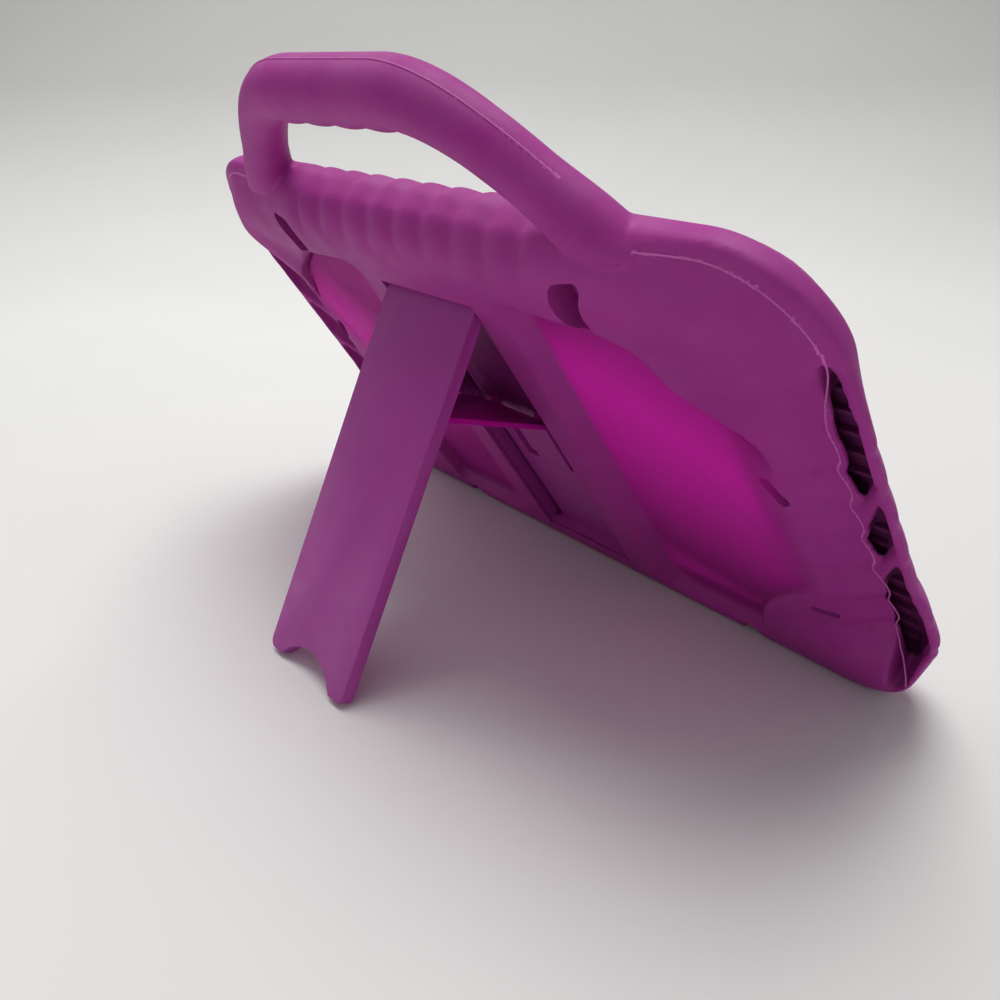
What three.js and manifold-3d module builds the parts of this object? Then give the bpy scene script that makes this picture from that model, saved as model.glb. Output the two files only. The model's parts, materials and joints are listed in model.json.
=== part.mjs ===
// Soft tablet case with a carrying handle and a folding back stand.
// The case is drawn upright, back at y = 0, front towards +Y, bottom edge at z = 0,
// and is then leaned back onto its open stand. Lengths are millimetres, +Z is up.
import * as THREE from 'three';
import { mergeVertices } from 'three/addons/utils/BufferGeometryUtils.js';
import Module from 'manifold-3d';

const wasm = await Module();
wasm.setup();

// Driving dimensions of the soft case
const caseWidth = 285;
const caseHeight = 181.2;
const caseDepth = 22;
const caseLean = THREE.MathUtils.degToRad(34.3);
const partingDepth = 10.5;
const outlineRadius = 30;
const lowerCornerRadius = 22.5;
const frontEdgeRound = 6.5;

// Tablet pocket and the lip that holds the tablet in
const tabletWidth = 247;
const tabletHeight = 149;
const tabletThickness = 9;
const tabletBackCurve = 4;
const panelInnerFace = 8.8;
const bottomWall = 12.5;
const lipOverlap = 4.5;

// Soft back: thin side panels beside the thick middle block
const panelDepth = 6;
const blockHalfWidth = 36;
const panelSlopeRun = 11;
const panelEdgeRun = 3.5;

// Finger ribs over the top rim and grip ridges down both sides
const ribPitch = 14.5;
const ribPairs = 4;
const ribDepth = 1.5;
const ridgePitch = 15.1;
const ridgeTop = 126.5;
const ridgeCount = 6;
const ridgeDepth = 1.5;

// Open side truss: the outer bar and the slots behind it
const flangeInset = 9.5;
const flangeDepth = 13.5;
const barInnerReach = 1;
const barOuterReach = 4;
const barCrest = 9.8;
const barMiddle = 11.8;
const frameInset = 1.6;
const trussFloor = 18.2;
const trussWallInset = 14.5;
const undercutBack = 15.7;
const strutSlant = 12;
const lipWave = 2.1;

// Handle
const handleRise = 34.5;
const barDepth = 11.3;
const footDepth = 13.2;
const barDiameter = 18.3;
const legDiameter = 15.6;
const handleFootDiameter = 14.8;
const barHalfLength = 25.4;
const handleFootX = 83.1;
const handleFootSlope = THREE.MathUtils.degToRad(46);
const gripPitch = 16.1;
const gripDepth = 1.8;

// Folding stand
const plateWidth = 47;
const plateThickness = 4.6;
const stowedFootHeight = 14.3;
const plateClearance = 0.6;
const hingeHeight = 147.5;
const hingeFromBack = 3.2;
const runningGap = 0.3;
const pinDiameter = 2.2;
const archWidth = 32;
const archDepth = 8;

// Rigid tray that carries the hinge, set into the soft back
const skinThickness = 1.2;
const trayHalfWidth = 31;
const trayBack = 8.5;
const trayMargin = 4.2;

// Brace between the plate and the slots in the tray
const braceArm = 36.5;
const braceReach = 52;
const braceWidth = 42;
const braceThickness = 1.8;
const braceLead = 2;
const footOffset = 4.3;
const footDiameter = 2.2;
const slotCentre = 11.9;
const slotWidth = 4.6;
const footWidth = 3.8;
const trunnionDiameter = 1.6;

// Sizes that follow from the driving ones
const halfWidth = caseWidth / 2;
const flangeEdge = halfWidth - flangeInset;
const barInner = halfWidth + barInnerReach;
const barOuter = halfWidth + barOuterReach;
const frameOuter = halfWidth - frameInset;
const trussInnerWall = halfWidth - trussWallInset;
const plateLength = hingeHeight - stowedFootHeight;
const tabletTop = bottomWall + tabletHeight;
const ribSpan = ribPairs * ribPitch;
const handleTop = caseHeight + handleRise;
const plateHalf = plateThickness / 2;
const recessHalfWidth = plateWidth / 2 + plateClearance;
const recessFloor = hingeFromBack + plateHalf + runningGap;
const recessTop = hingeHeight + plateHalf + 1.2;
const recessBottom = hingeHeight - plateLength - 1;
const trayTop = recessTop + trayMargin;
const trayBottom = recessBottom - trayMargin;
const foldedFoot = new THREE.Vector2(hingeFromBack + footOffset, hingeHeight - braceArm - braceReach);

const lerp = THREE.MathUtils.lerp;
const smooth = (x, a, b) => THREE.MathUtils.smoothstep(x, a, b);

// Mesh helpers

function geometryFrom(positions, indices) {
  const geometry = new THREE.BufferGeometry();
  geometry.setAttribute('position', new THREE.Float32BufferAttribute(positions, 3));
  geometry.setIndex(indices);
  if (signedVolume(geometry) < 0) {
    for (let i = 0; i < indices.length; i += 3) {
      [indices[i], indices[i + 1]] = [indices[i + 1], indices[i]];
    }
    geometry.setIndex(indices);
  }
  return geometry;
}

function signedVolume(geometry) {
  const position = geometry.attributes.position;
  const corner = [new THREE.Vector3(), new THREE.Vector3(), new THREE.Vector3()];
  let volume = 0;
  for (let i = 0; i < geometry.index.count; i += 3) {
    corner.forEach((point, k) => point.fromBufferAttribute(position, geometry.index.getX(i + k)));
    volume += corner[0].dot(corner[1].clone().cross(corner[2])) / 6;
  }
  return volume;
}

// A closed body through rings of equal count, closed by a fan at each end
function loftRings(rings) {
  const count = rings[0].length;
  const positions = [];
  const indices = [];
  rings.forEach((ring) => ring.forEach((p) => positions.push(p.x, p.y, p.z)));
  for (let k = 0; k + 1 < rings.length; k += 1) {
    for (let i = 0; i < count; i += 1) {
      const a = k * count + i;
      const b = k * count + ((i + 1) % count);
      indices.push(a, b, a + count, b, b + count, a + count);
    }
  }
  const capRing = (ring, start, flip) => {
    const centre = ring.reduce((sum, p) => sum.add(p), new THREE.Vector3()).divideScalar(count);
    const hub = positions.length / 3;
    positions.push(centre.x, centre.y, centre.z);
    for (let i = 0; i < count; i += 1) {
      const a = start + i;
      const b = start + ((i + 1) % count);
      indices.push(...(flip ? [hub, b, a] : [hub, a, b]));
    }
  };
  capRing(rings[0], 0, true);
  capRing(rings[rings.length - 1], (rings.length - 1) * count, false);
  return geometryFrom(positions, indices);
}

function solidOf(geometry) {
  const bare = geometry.clone();
  bare.deleteAttribute('normal');
  bare.deleteAttribute('uv');
  const merged = mergeVertices(bare, 1e-4);
  return new wasm.Manifold(new wasm.Mesh({
    numProp: 3,
    vertProperties: new Float32Array(merged.attributes.position.array),
    triVerts: new Uint32Array(merged.index.array),
  }));
}

function geometryOf(solid) {
  const mesh = solid.getMesh();
  const geometry = new THREE.BufferGeometry();
  geometry.setAttribute('position', new THREE.BufferAttribute(mesh.vertProperties, 3));
  geometry.setIndex(withoutSlivers(mesh.vertProperties, mesh.triVerts));
  geometry.computeVertexNormals();
  return geometry;
}

// Cuts along shared planes leave needle faces. Short edges are drawn together, and the
// long edge of a face with no height is turned to the other diagonal of its pair.
function withoutSlivers(coordinates, triangles) {
  const shortEdge = 0.03;
  const leastHeight = 0.006;
  const point = (i) => new THREE.Vector3().fromArray(coordinates, i * 3);
  const edgeKey = (a, b) => `${a} ${b}`;
  let faces = [];
  for (let i = 0; i < triangles.length; i += 3) {
    faces.push([triangles[i], triangles[i + 1], triangles[i + 2]]);
  }
  const neighboursOf = (vertex) => new Set(faces.filter((face) => face.includes(vertex)).flat());
  const edgeLength = (face, k) => point(face[k]).distanceTo(point(face[(k + 1) % 3]));
  const findShort = () => {
    const found = [];
    faces.forEach((face) => [0, 1, 2].forEach((k) => {
      if (face[k] < face[(k + 1) % 3] && edgeLength(face, k) < shortEdge) {
        found.push([face[k], face[(k + 1) % 3]]);
      }
    }));
    return found;
  };
  findShort().forEach(([keep, drop]) => {
    const around = neighboursOf(keep);
    const shared = [...neighboursOf(drop)].filter((v) => around.has(v) && v !== keep && v !== drop);
    if (shared.length === 2) {
      faces = faces.map((face) => face.map((v) => (v === drop ? keep : v)));
      faces = faces.filter((face) => new Set(face).size === 3);
    }
  });
  for (let pass = 0; pass < 20; pass += 1) {
    const faceAt = new Map();
    faces.forEach((face, f) => face.forEach((a, k) => faceAt.set(edgeKey(a, face[(k + 1) % 3]), f)));
    const turned = new Set();
    faces.forEach((face, f) => {
      const lengths = [0, 1, 2].map((k) => edgeLength(face, k));
      const longest = lengths.indexOf(Math.max(...lengths));
      const [a, b, c] = [0, 1, 2].map((k) => face[(longest + k) % 3]);
      const height = point(b).sub(point(a)).cross(point(c).sub(point(a))).length() / lengths[longest];
      const other = faceAt.get(edgeKey(b, a));
      if (height > leastHeight || turned.has(f) || turned.has(other)) {
        return;
      }
      const d = faces[other].find((v) => v !== a && v !== b);
      if (!faceAt.has(edgeKey(c, d)) && !faceAt.has(edgeKey(d, c))) {
        faces[f] = [a, d, c];
        faces[other] = [d, b, c];
        [f, other].forEach((g) => faces[g].forEach((v, k) => faceAt.set(edgeKey(v, faces[g][(k + 1) % 3]), g)));
        turned.add(f).add(other);
      }
    });
    if (!turned.size) {
      break;
    }
  }
  return faces.flat();
}

function boxSolid(x0, x1, y0, y1, z0, z1) {
  const geometry = new THREE.BoxGeometry(x1 - x0, y1 - y0, z1 - z0);
  geometry.translate((x0 + x1) / 2, (y0 + y1) / 2, (z0 + z1) / 2);
  return solidOf(geometry);
}

// A rod along X
function rodSolid(radius, x0, x1, y, z, sides = 20) {
  const geometry = new THREE.CylinderGeometry(radius, radius, x1 - x0, sides);
  geometry.rotateZ(Math.PI / 2);
  geometry.translate((x0 + x1) / 2, y, z);
  return solidOf(geometry);
}

// An outline of x, z points pushed through the depth from y0 to y1
function prismSolid(outline, y0, y1) {
  const ringAt = (y) => outline.map((p) => new THREE.Vector3(p.x, y, p.y));
  return solidOf(loftOutline([ringAt(y0), ringAt(y1)]));
}

// A loft whose end caps follow the outline, which may be hollow on one side
function loftOutline(rings) {
  const count = rings[0].length;
  const positions = [];
  const indices = [];
  rings.forEach((ring) => ring.forEach((p) => positions.push(p.x, p.y, p.z)));
  for (let k = 0; k + 1 < rings.length; k += 1) {
    for (let i = 0; i < count; i += 1) {
      const a = k * count + i;
      const b = k * count + ((i + 1) % count);
      indices.push(a, b, a + count, b, b + count, a + count);
    }
  }
  // The strips face outward for a clockwise outline, and the caps are turned to match
  const flat = rings[0].map((p) => new THREE.Vector2(p.x, p.z));
  const clockwise = THREE.ShapeUtils.isClockWise(flat);
  const last = (rings.length - 1) * count;
  THREE.ShapeUtils.triangulateShape(flat, []).forEach((face) => {
    const turned = THREE.ShapeUtils.isClockWise(face.map((i) => flat[i]));
    const [a, b, c] = turned === clockwise ? [face[0], face[2], face[1]] : face;
    indices.push(a, b, c, last + a, last + c, last + b);
  });
  return geometryFrom(positions, indices);
}

// A slot outline of even width along a smooth centre line
function slotOutline(centreLine, width, steps = 10) {
  const curve = new THREE.SplineCurve(centreLine);
  const left = [];
  const right = [];
  for (let i = 0; i <= steps; i += 1) {
    const p = curve.getPoint(i / steps);
    const t = curve.getTangent(i / steps);
    const fade = Math.sqrt(1 - Math.abs((2 * i) / steps - 1) ** 6 * 0.75);
    const reach = (width / 2) * fade;
    left.push(new THREE.Vector2(p.x - t.y * reach, p.y + t.x * reach));
    right.unshift(new THREE.Vector2(p.x + t.y * reach, p.y - t.x * reach));
  }
  return [...left, ...right];
}

// A polygon with each corner rounded by a short arc of the same number of points
function roundCorners(points, radius, steps = 4) {
  const outline = [];
  points.forEach((corner, i) => {
    const before = points[(i + points.length - 1) % points.length];
    const after = points[(i + 1) % points.length];
    const reach = Math.min(radius, corner.distanceTo(before) / 2.2, corner.distanceTo(after) / 2.2);
    const start = corner.clone().lerp(before, reach / corner.distanceTo(before));
    const end = corner.clone().lerp(after, reach / corner.distanceTo(after));
    const bend = new THREE.QuadraticBezierCurve(start, corner, end);
    outline.push(...bend.getPoints(steps));
  });
  return outline;
}

// Soft case: the moulded rim

// Distance in from the outline and depth from the back, for each ring of the rim's
// section, as it runs across the top, down the sides and along the bottom.
// lean is the angle of the surface: 90 faces back, 0 faces out, -90 faces front.
// ear is how far the surface falls away at the two rounded upper corners.
const rimSection = [
  { top: [33, 0], side: [64, 0], bottom: [22, 0], lean: 90, rib: 0, ridge: 0, lobe: 0, ear: 0.6 },
  { top: [25, -0.6], side: [50, 1.1], bottom: [15, 0], lean: 90, rib: 0.35, ridge: 0, lobe: 0, ear: 2.8 },
  { top: [17, -1.2], side: [38, 4], bottom: [10, 0], lean: 88, rib: 1, ridge: 0, lobe: 0, ear: 5.8 },
  { top: [10, -0.4], side: [27, 7.2], bottom: [7, 0.1], lean: 76, rib: 1, ridge: 0.35, lobe: 0, ear: 8 },
  { top: [4.6, 2.2], side: [18, 10.3], bottom: [4, 0.7], lean: 52, rib: 1, ridge: 1, lobe: 0, ear: 8.2 },
  { top: [1.3, 6], side: [halfWidth - flangeEdge, flangeDepth], bottom: [1.5, 2.6],
    lean: 22, rib: 1, ridge: 1, lobe: 0, ear: 5.2 },
  { top: [0.3, partingDepth], side: [halfWidth - barInner - 0.5, barCrest], bottom: [0.2, 6],
    lean: 0, rib: 1, ridge: 0, lobe: 0.2, ear: 1.6 },
  { top: [0, 14], side: [halfWidth - barOuter, barMiddle], bottom: [0, 14],
    lean: 0, rib: 1, ridge: 0, lobe: 0.6, ear: 0 },
  { top: [1.4, 18.4], side: [halfWidth - frameOuter, 18], bottom: [1.4, 18.4],
    lean: -35, rib: 0.8, ridge: 0, lobe: 0.5, ear: 0 },
  { top: [frontEdgeRound - 1.6, 21.4], side: [7, 21.4], bottom: [5, 21.4],
    lean: -75, rib: 0.4, ridge: 0, lobe: 0.3, ear: 0 },
];

// How much a place along the outline belongs to the top, the side or the bottom
function sideShare(z) {
  const fromTop = caseHeight - z;
  return smooth(z, 14, 32) * smooth(fromTop, 25.2, 51.2);
}

// The sides draw in slightly towards the top and swell at the lower corners
function sideFlare(z) {
  const drawnIn = 1 - smooth(caseHeight - z, 46.2, 121.2);
  return -1.2 * drawnIn + 2.6 * smooth(z, 22, 40) * (1 - smooth(z, 46, 68));
}

// The rounded outline of one ring. Its stations are the same on every ring, so
// ribs and ridges line up from ring to ring.
const ribStations = [];
for (let i = -ribPairs * 5; i <= ribPairs * 5; i += 1) {
  ribStations.push((i * ribPitch) / 5);
}
const ridgeStations = [];
for (let i = 0; i <= ridgeCount * 4 - 3; i += 1) {
  ridgeStations.push(ridgeTop - (i * ridgePitch) / 4);
}
const cornerSteps = 7;
const bottomSteps = 12;

function stationsBetween(start, end, count) {
  return Array.from({ length: count }, (unused, i) => lerp(start, end, (i + 1) / (count + 1)));
}

function ringOutline({ half, top, bottom, topRadius, bottomRadius }) {
  const topEnd = half - topRadius;
  const ribScale = Math.min(1, (topEnd * 0.86) / ribSpan);
  const ribs = ribStations.map((x) => x * ribScale);
  const reach = ribs[ribs.length - 1];
  const sideTop = top - topRadius;
  const sideBottom = bottom + bottomRadius;
  const ridgeLow = ridgeStations[ridgeStations.length - 1];
  const high = Math.min(ridgeTop, sideTop - 4);
  const low = Math.max(ridgeLow, sideBottom + 3);
  const ridges = ridgeStations.map((z) => lerp(low, high, (z - ridgeLow) / (ridgeTop - ridgeLow)));
  const right = [];
  stationsBetween(reach, topEnd, 3).forEach((x) => right.push([x, top]));
  for (let i = 0; i <= cornerSteps; i += 1) {
    const angle = (Math.PI / 2) * (1 - i / cornerSteps);
    right.push([topEnd + topRadius * Math.cos(angle), sideTop + topRadius * Math.sin(angle)]);
  }
  stationsBetween(sideTop, high, 2).forEach((z) => right.push([half, z]));
  ridges.forEach((z) => right.push([half, z]));
  right.push([half, (low + sideBottom) / 2]);
  for (let i = 0; i <= cornerSteps; i += 1) {
    const angle = (-Math.PI / 2) * (i / cornerSteps);
    right.push([half - bottomRadius + bottomRadius * Math.cos(angle),
      sideBottom + bottomRadius * Math.sin(angle)]);
  }
  const left = right.map(([x, z]) => [-x, z]).reverse();
  const base = stationsBetween(half - bottomRadius, bottomRadius - half, bottomSteps);
  return [...ribs.map((x) => [x, top]), ...right, ...base.map((x) => [x, bottom]), ...left];
}

// Ribs are full lobes with sharp valleys; ridges are shingled, each one stepping in
// at its lower end.
function ribWave(x) {
  if (Math.abs(x) > ribSpan) {
    return 0;
  }
  return Math.abs(Math.sin((Math.PI * x) / ribPitch)) ** 0.8 - 1;
}

function ridgeWave(z) {
  const low = ridgeTop - ridgeCount * ridgePitch;
  if (z > ridgeTop || z < low) {
    return 0;
  }
  const step = (ridgeTop - z) / ridgePitch;
  return Math.max(step - Math.floor(step + 1e-6), 0) ** 0.8 - 1;
}

// The outer bar carries the same grips as round lobes
function lobeWave(z) {
  const low = ridgeTop - ridgeCount * ridgePitch;
  if (z > ridgeTop || z < low) {
    return 0;
  }
  return Math.abs(Math.sin((Math.PI * (ridgeTop - z)) / ridgePitch)) ** 0.8 - 1;
}

function rimRing(level) {
  const [topInset] = level.top;
  const [sideInset] = level.side;
  const [bottomInset] = level.bottom;
  const plain = ringOutline({
    half: halfWidth - topInset * 0.9,
    top: caseHeight - topInset,
    bottom: bottomInset,
    topRadius: Math.max(outlineRadius - topInset * 0.55, 12),
    bottomRadius: Math.max(lowerCornerRadius - bottomInset * 0.4, 11),
  });
  const lean = THREE.MathUtils.degToRad(level.lean);
  return plain.map(([x, z]) => {
    const share = sideShare(z) * smooth(Math.abs(x), 40, 75);
    const away = Math.sign(x) * (topInset * 0.9 - sideInset) * share;
    const endDepth = z > caseHeight / 2 ? level.top[1] : level.bottom[1];
    const fromSide = halfWidth - Math.abs(x);
    const corner = (1 - smooth(fromSide, 20.5, 54.5)) * (1 - smooth(caseHeight - z, 35.2, 63.2));
    const y = lerp(endDepth, level.side[1], share) + corner * level.ear * (1 - share);
    const flare = Math.sign(x) * share * sideFlare(z) * smooth(Math.abs(x), 118, 134);
    const atTop = smooth(z, caseHeight - 52, caseHeight - 34) * (1 - smooth(Math.abs(x), ribSpan, ribSpan + 8));
    const push = level.rib * ribDepth * ribWave(x) * atTop
      + (level.ridge * ridgeWave(z) + level.lobe * lobeWave(z)) * ridgeDepth * share;
    const outX = Math.sign(x) * share * Math.cos(lean) * push;
    const outZ = atTop * Math.cos(lean) * push;
    return new THREE.Vector3(x + away + flare + outX, y - Math.sin(lean) * push, z + outZ);
  });
}

// Front lip, window, and the pocket that holds the tablet
function frontRing(widthInset, topInset, bottomInset, radius, y) {
  return ringOutline({
    half: halfWidth - widthInset,
    top: caseHeight - topInset,
    bottom: bottomInset,
    topRadius: radius,
    bottomRadius: radius,
  }).map(([x, z]) => new THREE.Vector3(x, y, z));
}

function rimSolid() {
  const rings = [frontRing(halfWidth - 30, 58, 38, 8, 0)];
  rings.push(...rimSection.map(rimRing));
  const pocketSide = halfWidth - tabletWidth / 2;
  const pocketTop = caseHeight - tabletTop;
  const lipInner = panelInnerFace + tabletThickness;
  const curvedBack = panelInnerFace + tabletBackCurve;
  rings.push(frontRing(10, 9, 7, 16, caseDepth));
  rings.push(frontRing(pocketSide + lipOverlap, pocketTop + lipOverlap, bottomWall + lipOverlap, 7, caseDepth));
  rings.push(frontRing(pocketSide + lipOverlap, pocketTop + lipOverlap, bottomWall + lipOverlap, 7, lipInner));
  rings.push(frontRing(pocketSide, pocketTop, bottomWall, 9, lipInner));
  rings.push(frontRing(pocketSide, pocketTop, bottomWall, 9, curvedBack));
  rings.push(frontRing(pocketSide + 17, pocketTop + 3, bottomWall + 3, 12, panelInnerFace));
  return solidOf(loftRings(rings));
}

// Soft case: thin panels

// Corners of one thin panel, at its floor, and how far each moves out at the back face
function panelOutline(side, grow) {
  const blockX = blockHalfWidth + panelSlopeRun * (1 - grow);
  const edge = panelEdgeRun * grow;
  const top = caseHeight - 27.2 + edge;
  const outer = halfWidth - 27.5 + edge;
  const corners = [
    [blockX, top],
    [outer - 31 - edge * 0.6, top],
    [outer, top - 37 - edge * 0.5],
    [outer, 50],
    [halfWidth - 36.5, 45],
    [halfWidth - 48.5, 34],
    [halfWidth - 53.5, 21],
    [halfWidth - 54.5, 12 - edge],
    [blockX, 12 - edge],
  ];
  return roundCorners(corners.map(([x, z]) => new THREE.Vector2(side * x, z)), 9);
}

function panelHollow(side) {
  const levels = [[-4, 1.35], [0, 1], [1.2, 0.72], [3, 0.42], [4.8, 0.16], [panelDepth, 0]];
  const rings = levels.map(([y, grow]) => panelOutline(side, grow).map((p) => new THREE.Vector3(p.x, y, p.y)));
  return solidOf(loftOutline(rings));
}

// Soft case: side truss

// Three slanted cells a side, given by their heights at the flange edge
const trussCells = [
  { high: 142, low: 96 },
  { high: 89, low: 78 },
  { high: 66, low: 20 },
];

// A cell's outline: wavy along the flange lip, slanted along the struts, and following
// the outer bar. grow opens the struts and the bar, not the lip, and inset follows the
// bar's inner face as it slopes in towards the front.
function cellOutline(side, cell, grow, inset) {
  const steps = 10;
  const high = cell.high + grow;
  const low = cell.low - grow;
  const lip = [];
  const bar = [];
  for (let i = 0; i <= steps; i += 1) {
    const near = lerp(high, low, i / steps);
    lip.push(new THREE.Vector2(side * (flangeEdge + lipWave * (1 + ridgeWave(near))), near));
    const far = lerp(low, high, i / steps) + strutSlant;
    bar.push(new THREE.Vector2(side * (barInner + sideFlare(far) + grow - inset), far));
  }
  return [...lip, ...bar];
}

function trussHollow(side) {
  const mouthLevels = [[-4, 1, 0], [10.8, 1, 0], [12, 0.3, 0], [13.6, 0, 0.6], [trussFloor, 0, 4.8]];
  const cells = trussCells.map((cell) => {
    const rings = mouthLevels.map(([y, grow, inset]) => (
      cellOutline(side, cell, grow, inset).map((p) => new THREE.Vector3(p.x, y, p.y))));
    const x0 = Math.min(side * trussInnerWall, side * (flangeEdge + 0.6));
    const x1 = Math.max(side * trussInnerWall, side * (flangeEdge + 0.6));
    const undercut = boxSolid(x0, x1, undercutBack, trussFloor - 0.5, cell.low + 2, cell.high - 3);
    return solidOf(loftOutline(rings)).add(undercut);
  });
  return wasm.Manifold.union(cells);
}

// Soft case: openings

// Places are given as distances in from the side and down from the top
function backOpenings(side) {
  const along = (points) => points.map(([inset, drop]) => (
    new THREE.Vector2(side * (halfWidth - inset), caseHeight - drop)));
  const shoulderHole = prismSolid(slotOutline(along([[66.3, 8.7], [67.1, 15.7], [63.5, 25]]), 9.4), -6, 13);
  const cornerSlit = prismSolid(slotOutline(along([[61.5, 33.7], [45.5, 46.2], [33, 63.7]]), 1.3, 6), -6, 10);
  const sideSlot = prismSolid(slotOutline(along([[32.2, 79.7], [28.2, 88.3]]), 3.4, 5), -6, 12);
  const lowDimple = prismSolid(slotOutline(along([[31.5, 142], [23.5, 144.9]]), 3.4, 5), -6, 8);
  const notchMiddle = side * (halfWidth - 63);
  const notchCorners = [[-5, -3], [5, -3], [3, 8], [-2.5, 8]];
  const portNotch = prismSolid(notchCorners.map(([x, z]) => new THREE.Vector2(notchMiddle + side * x, z)), -6, 7);
  return wasm.Manifold.union([shoulderHole, cornerSlit, sideSlot, lowDimple, portNotch]);
}

// Soft case: handle

// Points of the handle's centre line from the middle of the bar to one foot, with
// the direction of travel and how far along the leg each point is
function handleStations() {
  const barEnd = new THREE.Vector2(barHalfLength, handleTop);
  const foot = new THREE.Vector2(handleFootX, caseHeight - 1.8);
  const legRun = new THREE.Vector2(Math.cos(handleFootSlope), -Math.sin(handleFootSlope));
  const leg = new THREE.CubicBezierCurve(
    barEnd,
    new THREE.Vector2(barHalfLength + 22.8, handleTop),
    foot.clone().addScaledVector(legRun, -26),
    foot,
  );
  const stations = [];
  for (let i = 0; i < 8; i += 1) {
    stations.push({ point: new THREE.Vector2((i * gripPitch) / 5, handleTop), turn: 0, along: 0 });
  }
  for (let i = 0; i <= 13; i += 1) {
    const tangent = leg.getTangent(i / 13);
    stations.push({ point: leg.getPoint(i / 13), turn: Math.atan2(-tangent.y, tangent.x), along: i / 13 });
  }
  stations.push({ point: foot.clone().addScaledVector(legRun, 8), turn: handleFootSlope, along: 1 });
  stations.push({ point: foot.clone().addScaledVector(legRun, 17), turn: handleFootSlope, along: 1 });
  const left = stations.slice(1).reverse();
  const mirrored = left.map(({ point, turn, along }) => (
    { point: new THREE.Vector2(-point.x, point.y), turn: -turn, along }));
  return [...mirrored, ...stations];
}

function handleSolid() {
  const sides = 20;
  const square = (v) => Math.sign(v) * Math.abs(v) ** 0.9;
  const rings = handleStations().map(({ point, turn, along }) => {
    const taper = along < 0.5
      ? lerp(barDiameter, legDiameter, along * 2)
      : lerp(legDiameter, handleFootDiameter, along * 2 - 1);
    const flare = 1 + 0.22 * (1 - smooth(point.y, caseHeight - 9, caseHeight + 5));
    const radius = (taper / 2) * flare;
    const depth = lerp(barDepth, footDepth, along);
    const onBar = 1 - smooth(Math.abs(point.x), gripPitch * 2, gripPitch * 2 + 3);
    const lobe = Math.abs(Math.sin((Math.PI * point.x) / gripPitch)) ** 0.8 - 0.5;
    const ring = [];
    for (let i = 0; i < sides; i += 1) {
      const angle = (2 * Math.PI * (i + 0.5)) / sides;
      const under = smooth(-Math.cos(angle), 0.2, 0.95) * onBar * gripDepth * lobe;
      const reach = square(Math.cos(angle)) * radius - under;
      ring.push(new THREE.Vector3(
        point.x + Math.sin(turn) * reach,
        depth + square(Math.sin(angle)) * radius,
        point.y + Math.cos(turn) * reach,
      ));
    }
    return ring;
  });
  return solidOf(loftRings(rings));
}

// Soft case: the whole moulding

function caseShellGeometry() {
  const trayGap = runningGap;
  const trayHole = boxSolid(
    -trayHalfWidth - trayGap, trayHalfWidth + trayGap,
    skinThickness, panelInnerFace + 1,
    trayBottom - trayGap, trayTop + trayGap,
  );
  const standWindow = boxSolid(
    -recessHalfWidth - trayGap, recessHalfWidth + trayGap,
    -4, skinThickness + 1,
    recessBottom - trayGap, recessTop + trayGap,
  );
  const body = rimSolid()
    .subtract(panelHollow(1))
    .subtract(panelHollow(-1))
    .subtract(trussHollow(1))
    .subtract(trussHollow(-1));
  const pocket = boxSolid(
    -tabletWidth / 2, tabletWidth / 2,
    panelInnerFace, panelInnerFace + tabletThickness,
    bottomWall, tabletTop,
  );
  const handle = handleSolid().subtract(pocket);
  return geometryOf(body.add(handle)
    .subtract(backOpenings(1))
    .subtract(backOpenings(-1))
    .subtract(trayHole)
    .subtract(standWindow));
}

// Rigid stand tray

function stretchedHole(x0, x1, z0, z1) {
  return boxSolid(x0, x1, recessFloor - 1, trayBack + 1, z0, z1);
}

function trayGeometry() {
  const body = boxSolid(
    -trayHalfWidth, trayHalfWidth,
    skinThickness + runningGap, trayBack,
    trayBottom, trayTop,
  );
  const recess = boxSolid(-recessHalfWidth, recessHalfWidth, -1, recessFloor, recessBottom, recessTop);
  const slotLow = foldedFoot.y - footDiameter / 2 - runningGap;
  const slotHigh = openFoot.y + footDiameter / 2 + runningGap;
  const slots = [1, -1].map((side) => {
    const centre = side * slotCentre;
    const straight = stretchedHole(centre - slotWidth / 2, centre + slotWidth / 2, slotLow, slotHigh);
    const entry = stretchedHole(centre - slotWidth / 2, centre + slotWidth / 2 + 2, slotLow, slotLow + 4);
    return straight.add(entry);
  });
  const pinReach = plateWidth / 2 + 5.2;
  const pinHole = rodSolid(pinDiameter / 2 + runningGap, -pinReach, pinReach, hingeFromBack, hingeHeight);
  return geometryOf(body.subtract(recess).subtract(wasm.Manifold.union(slots)).subtract(pinHole));
}

// Stand plate, drawn folded flat, with the hinge axis at its own origin

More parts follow.
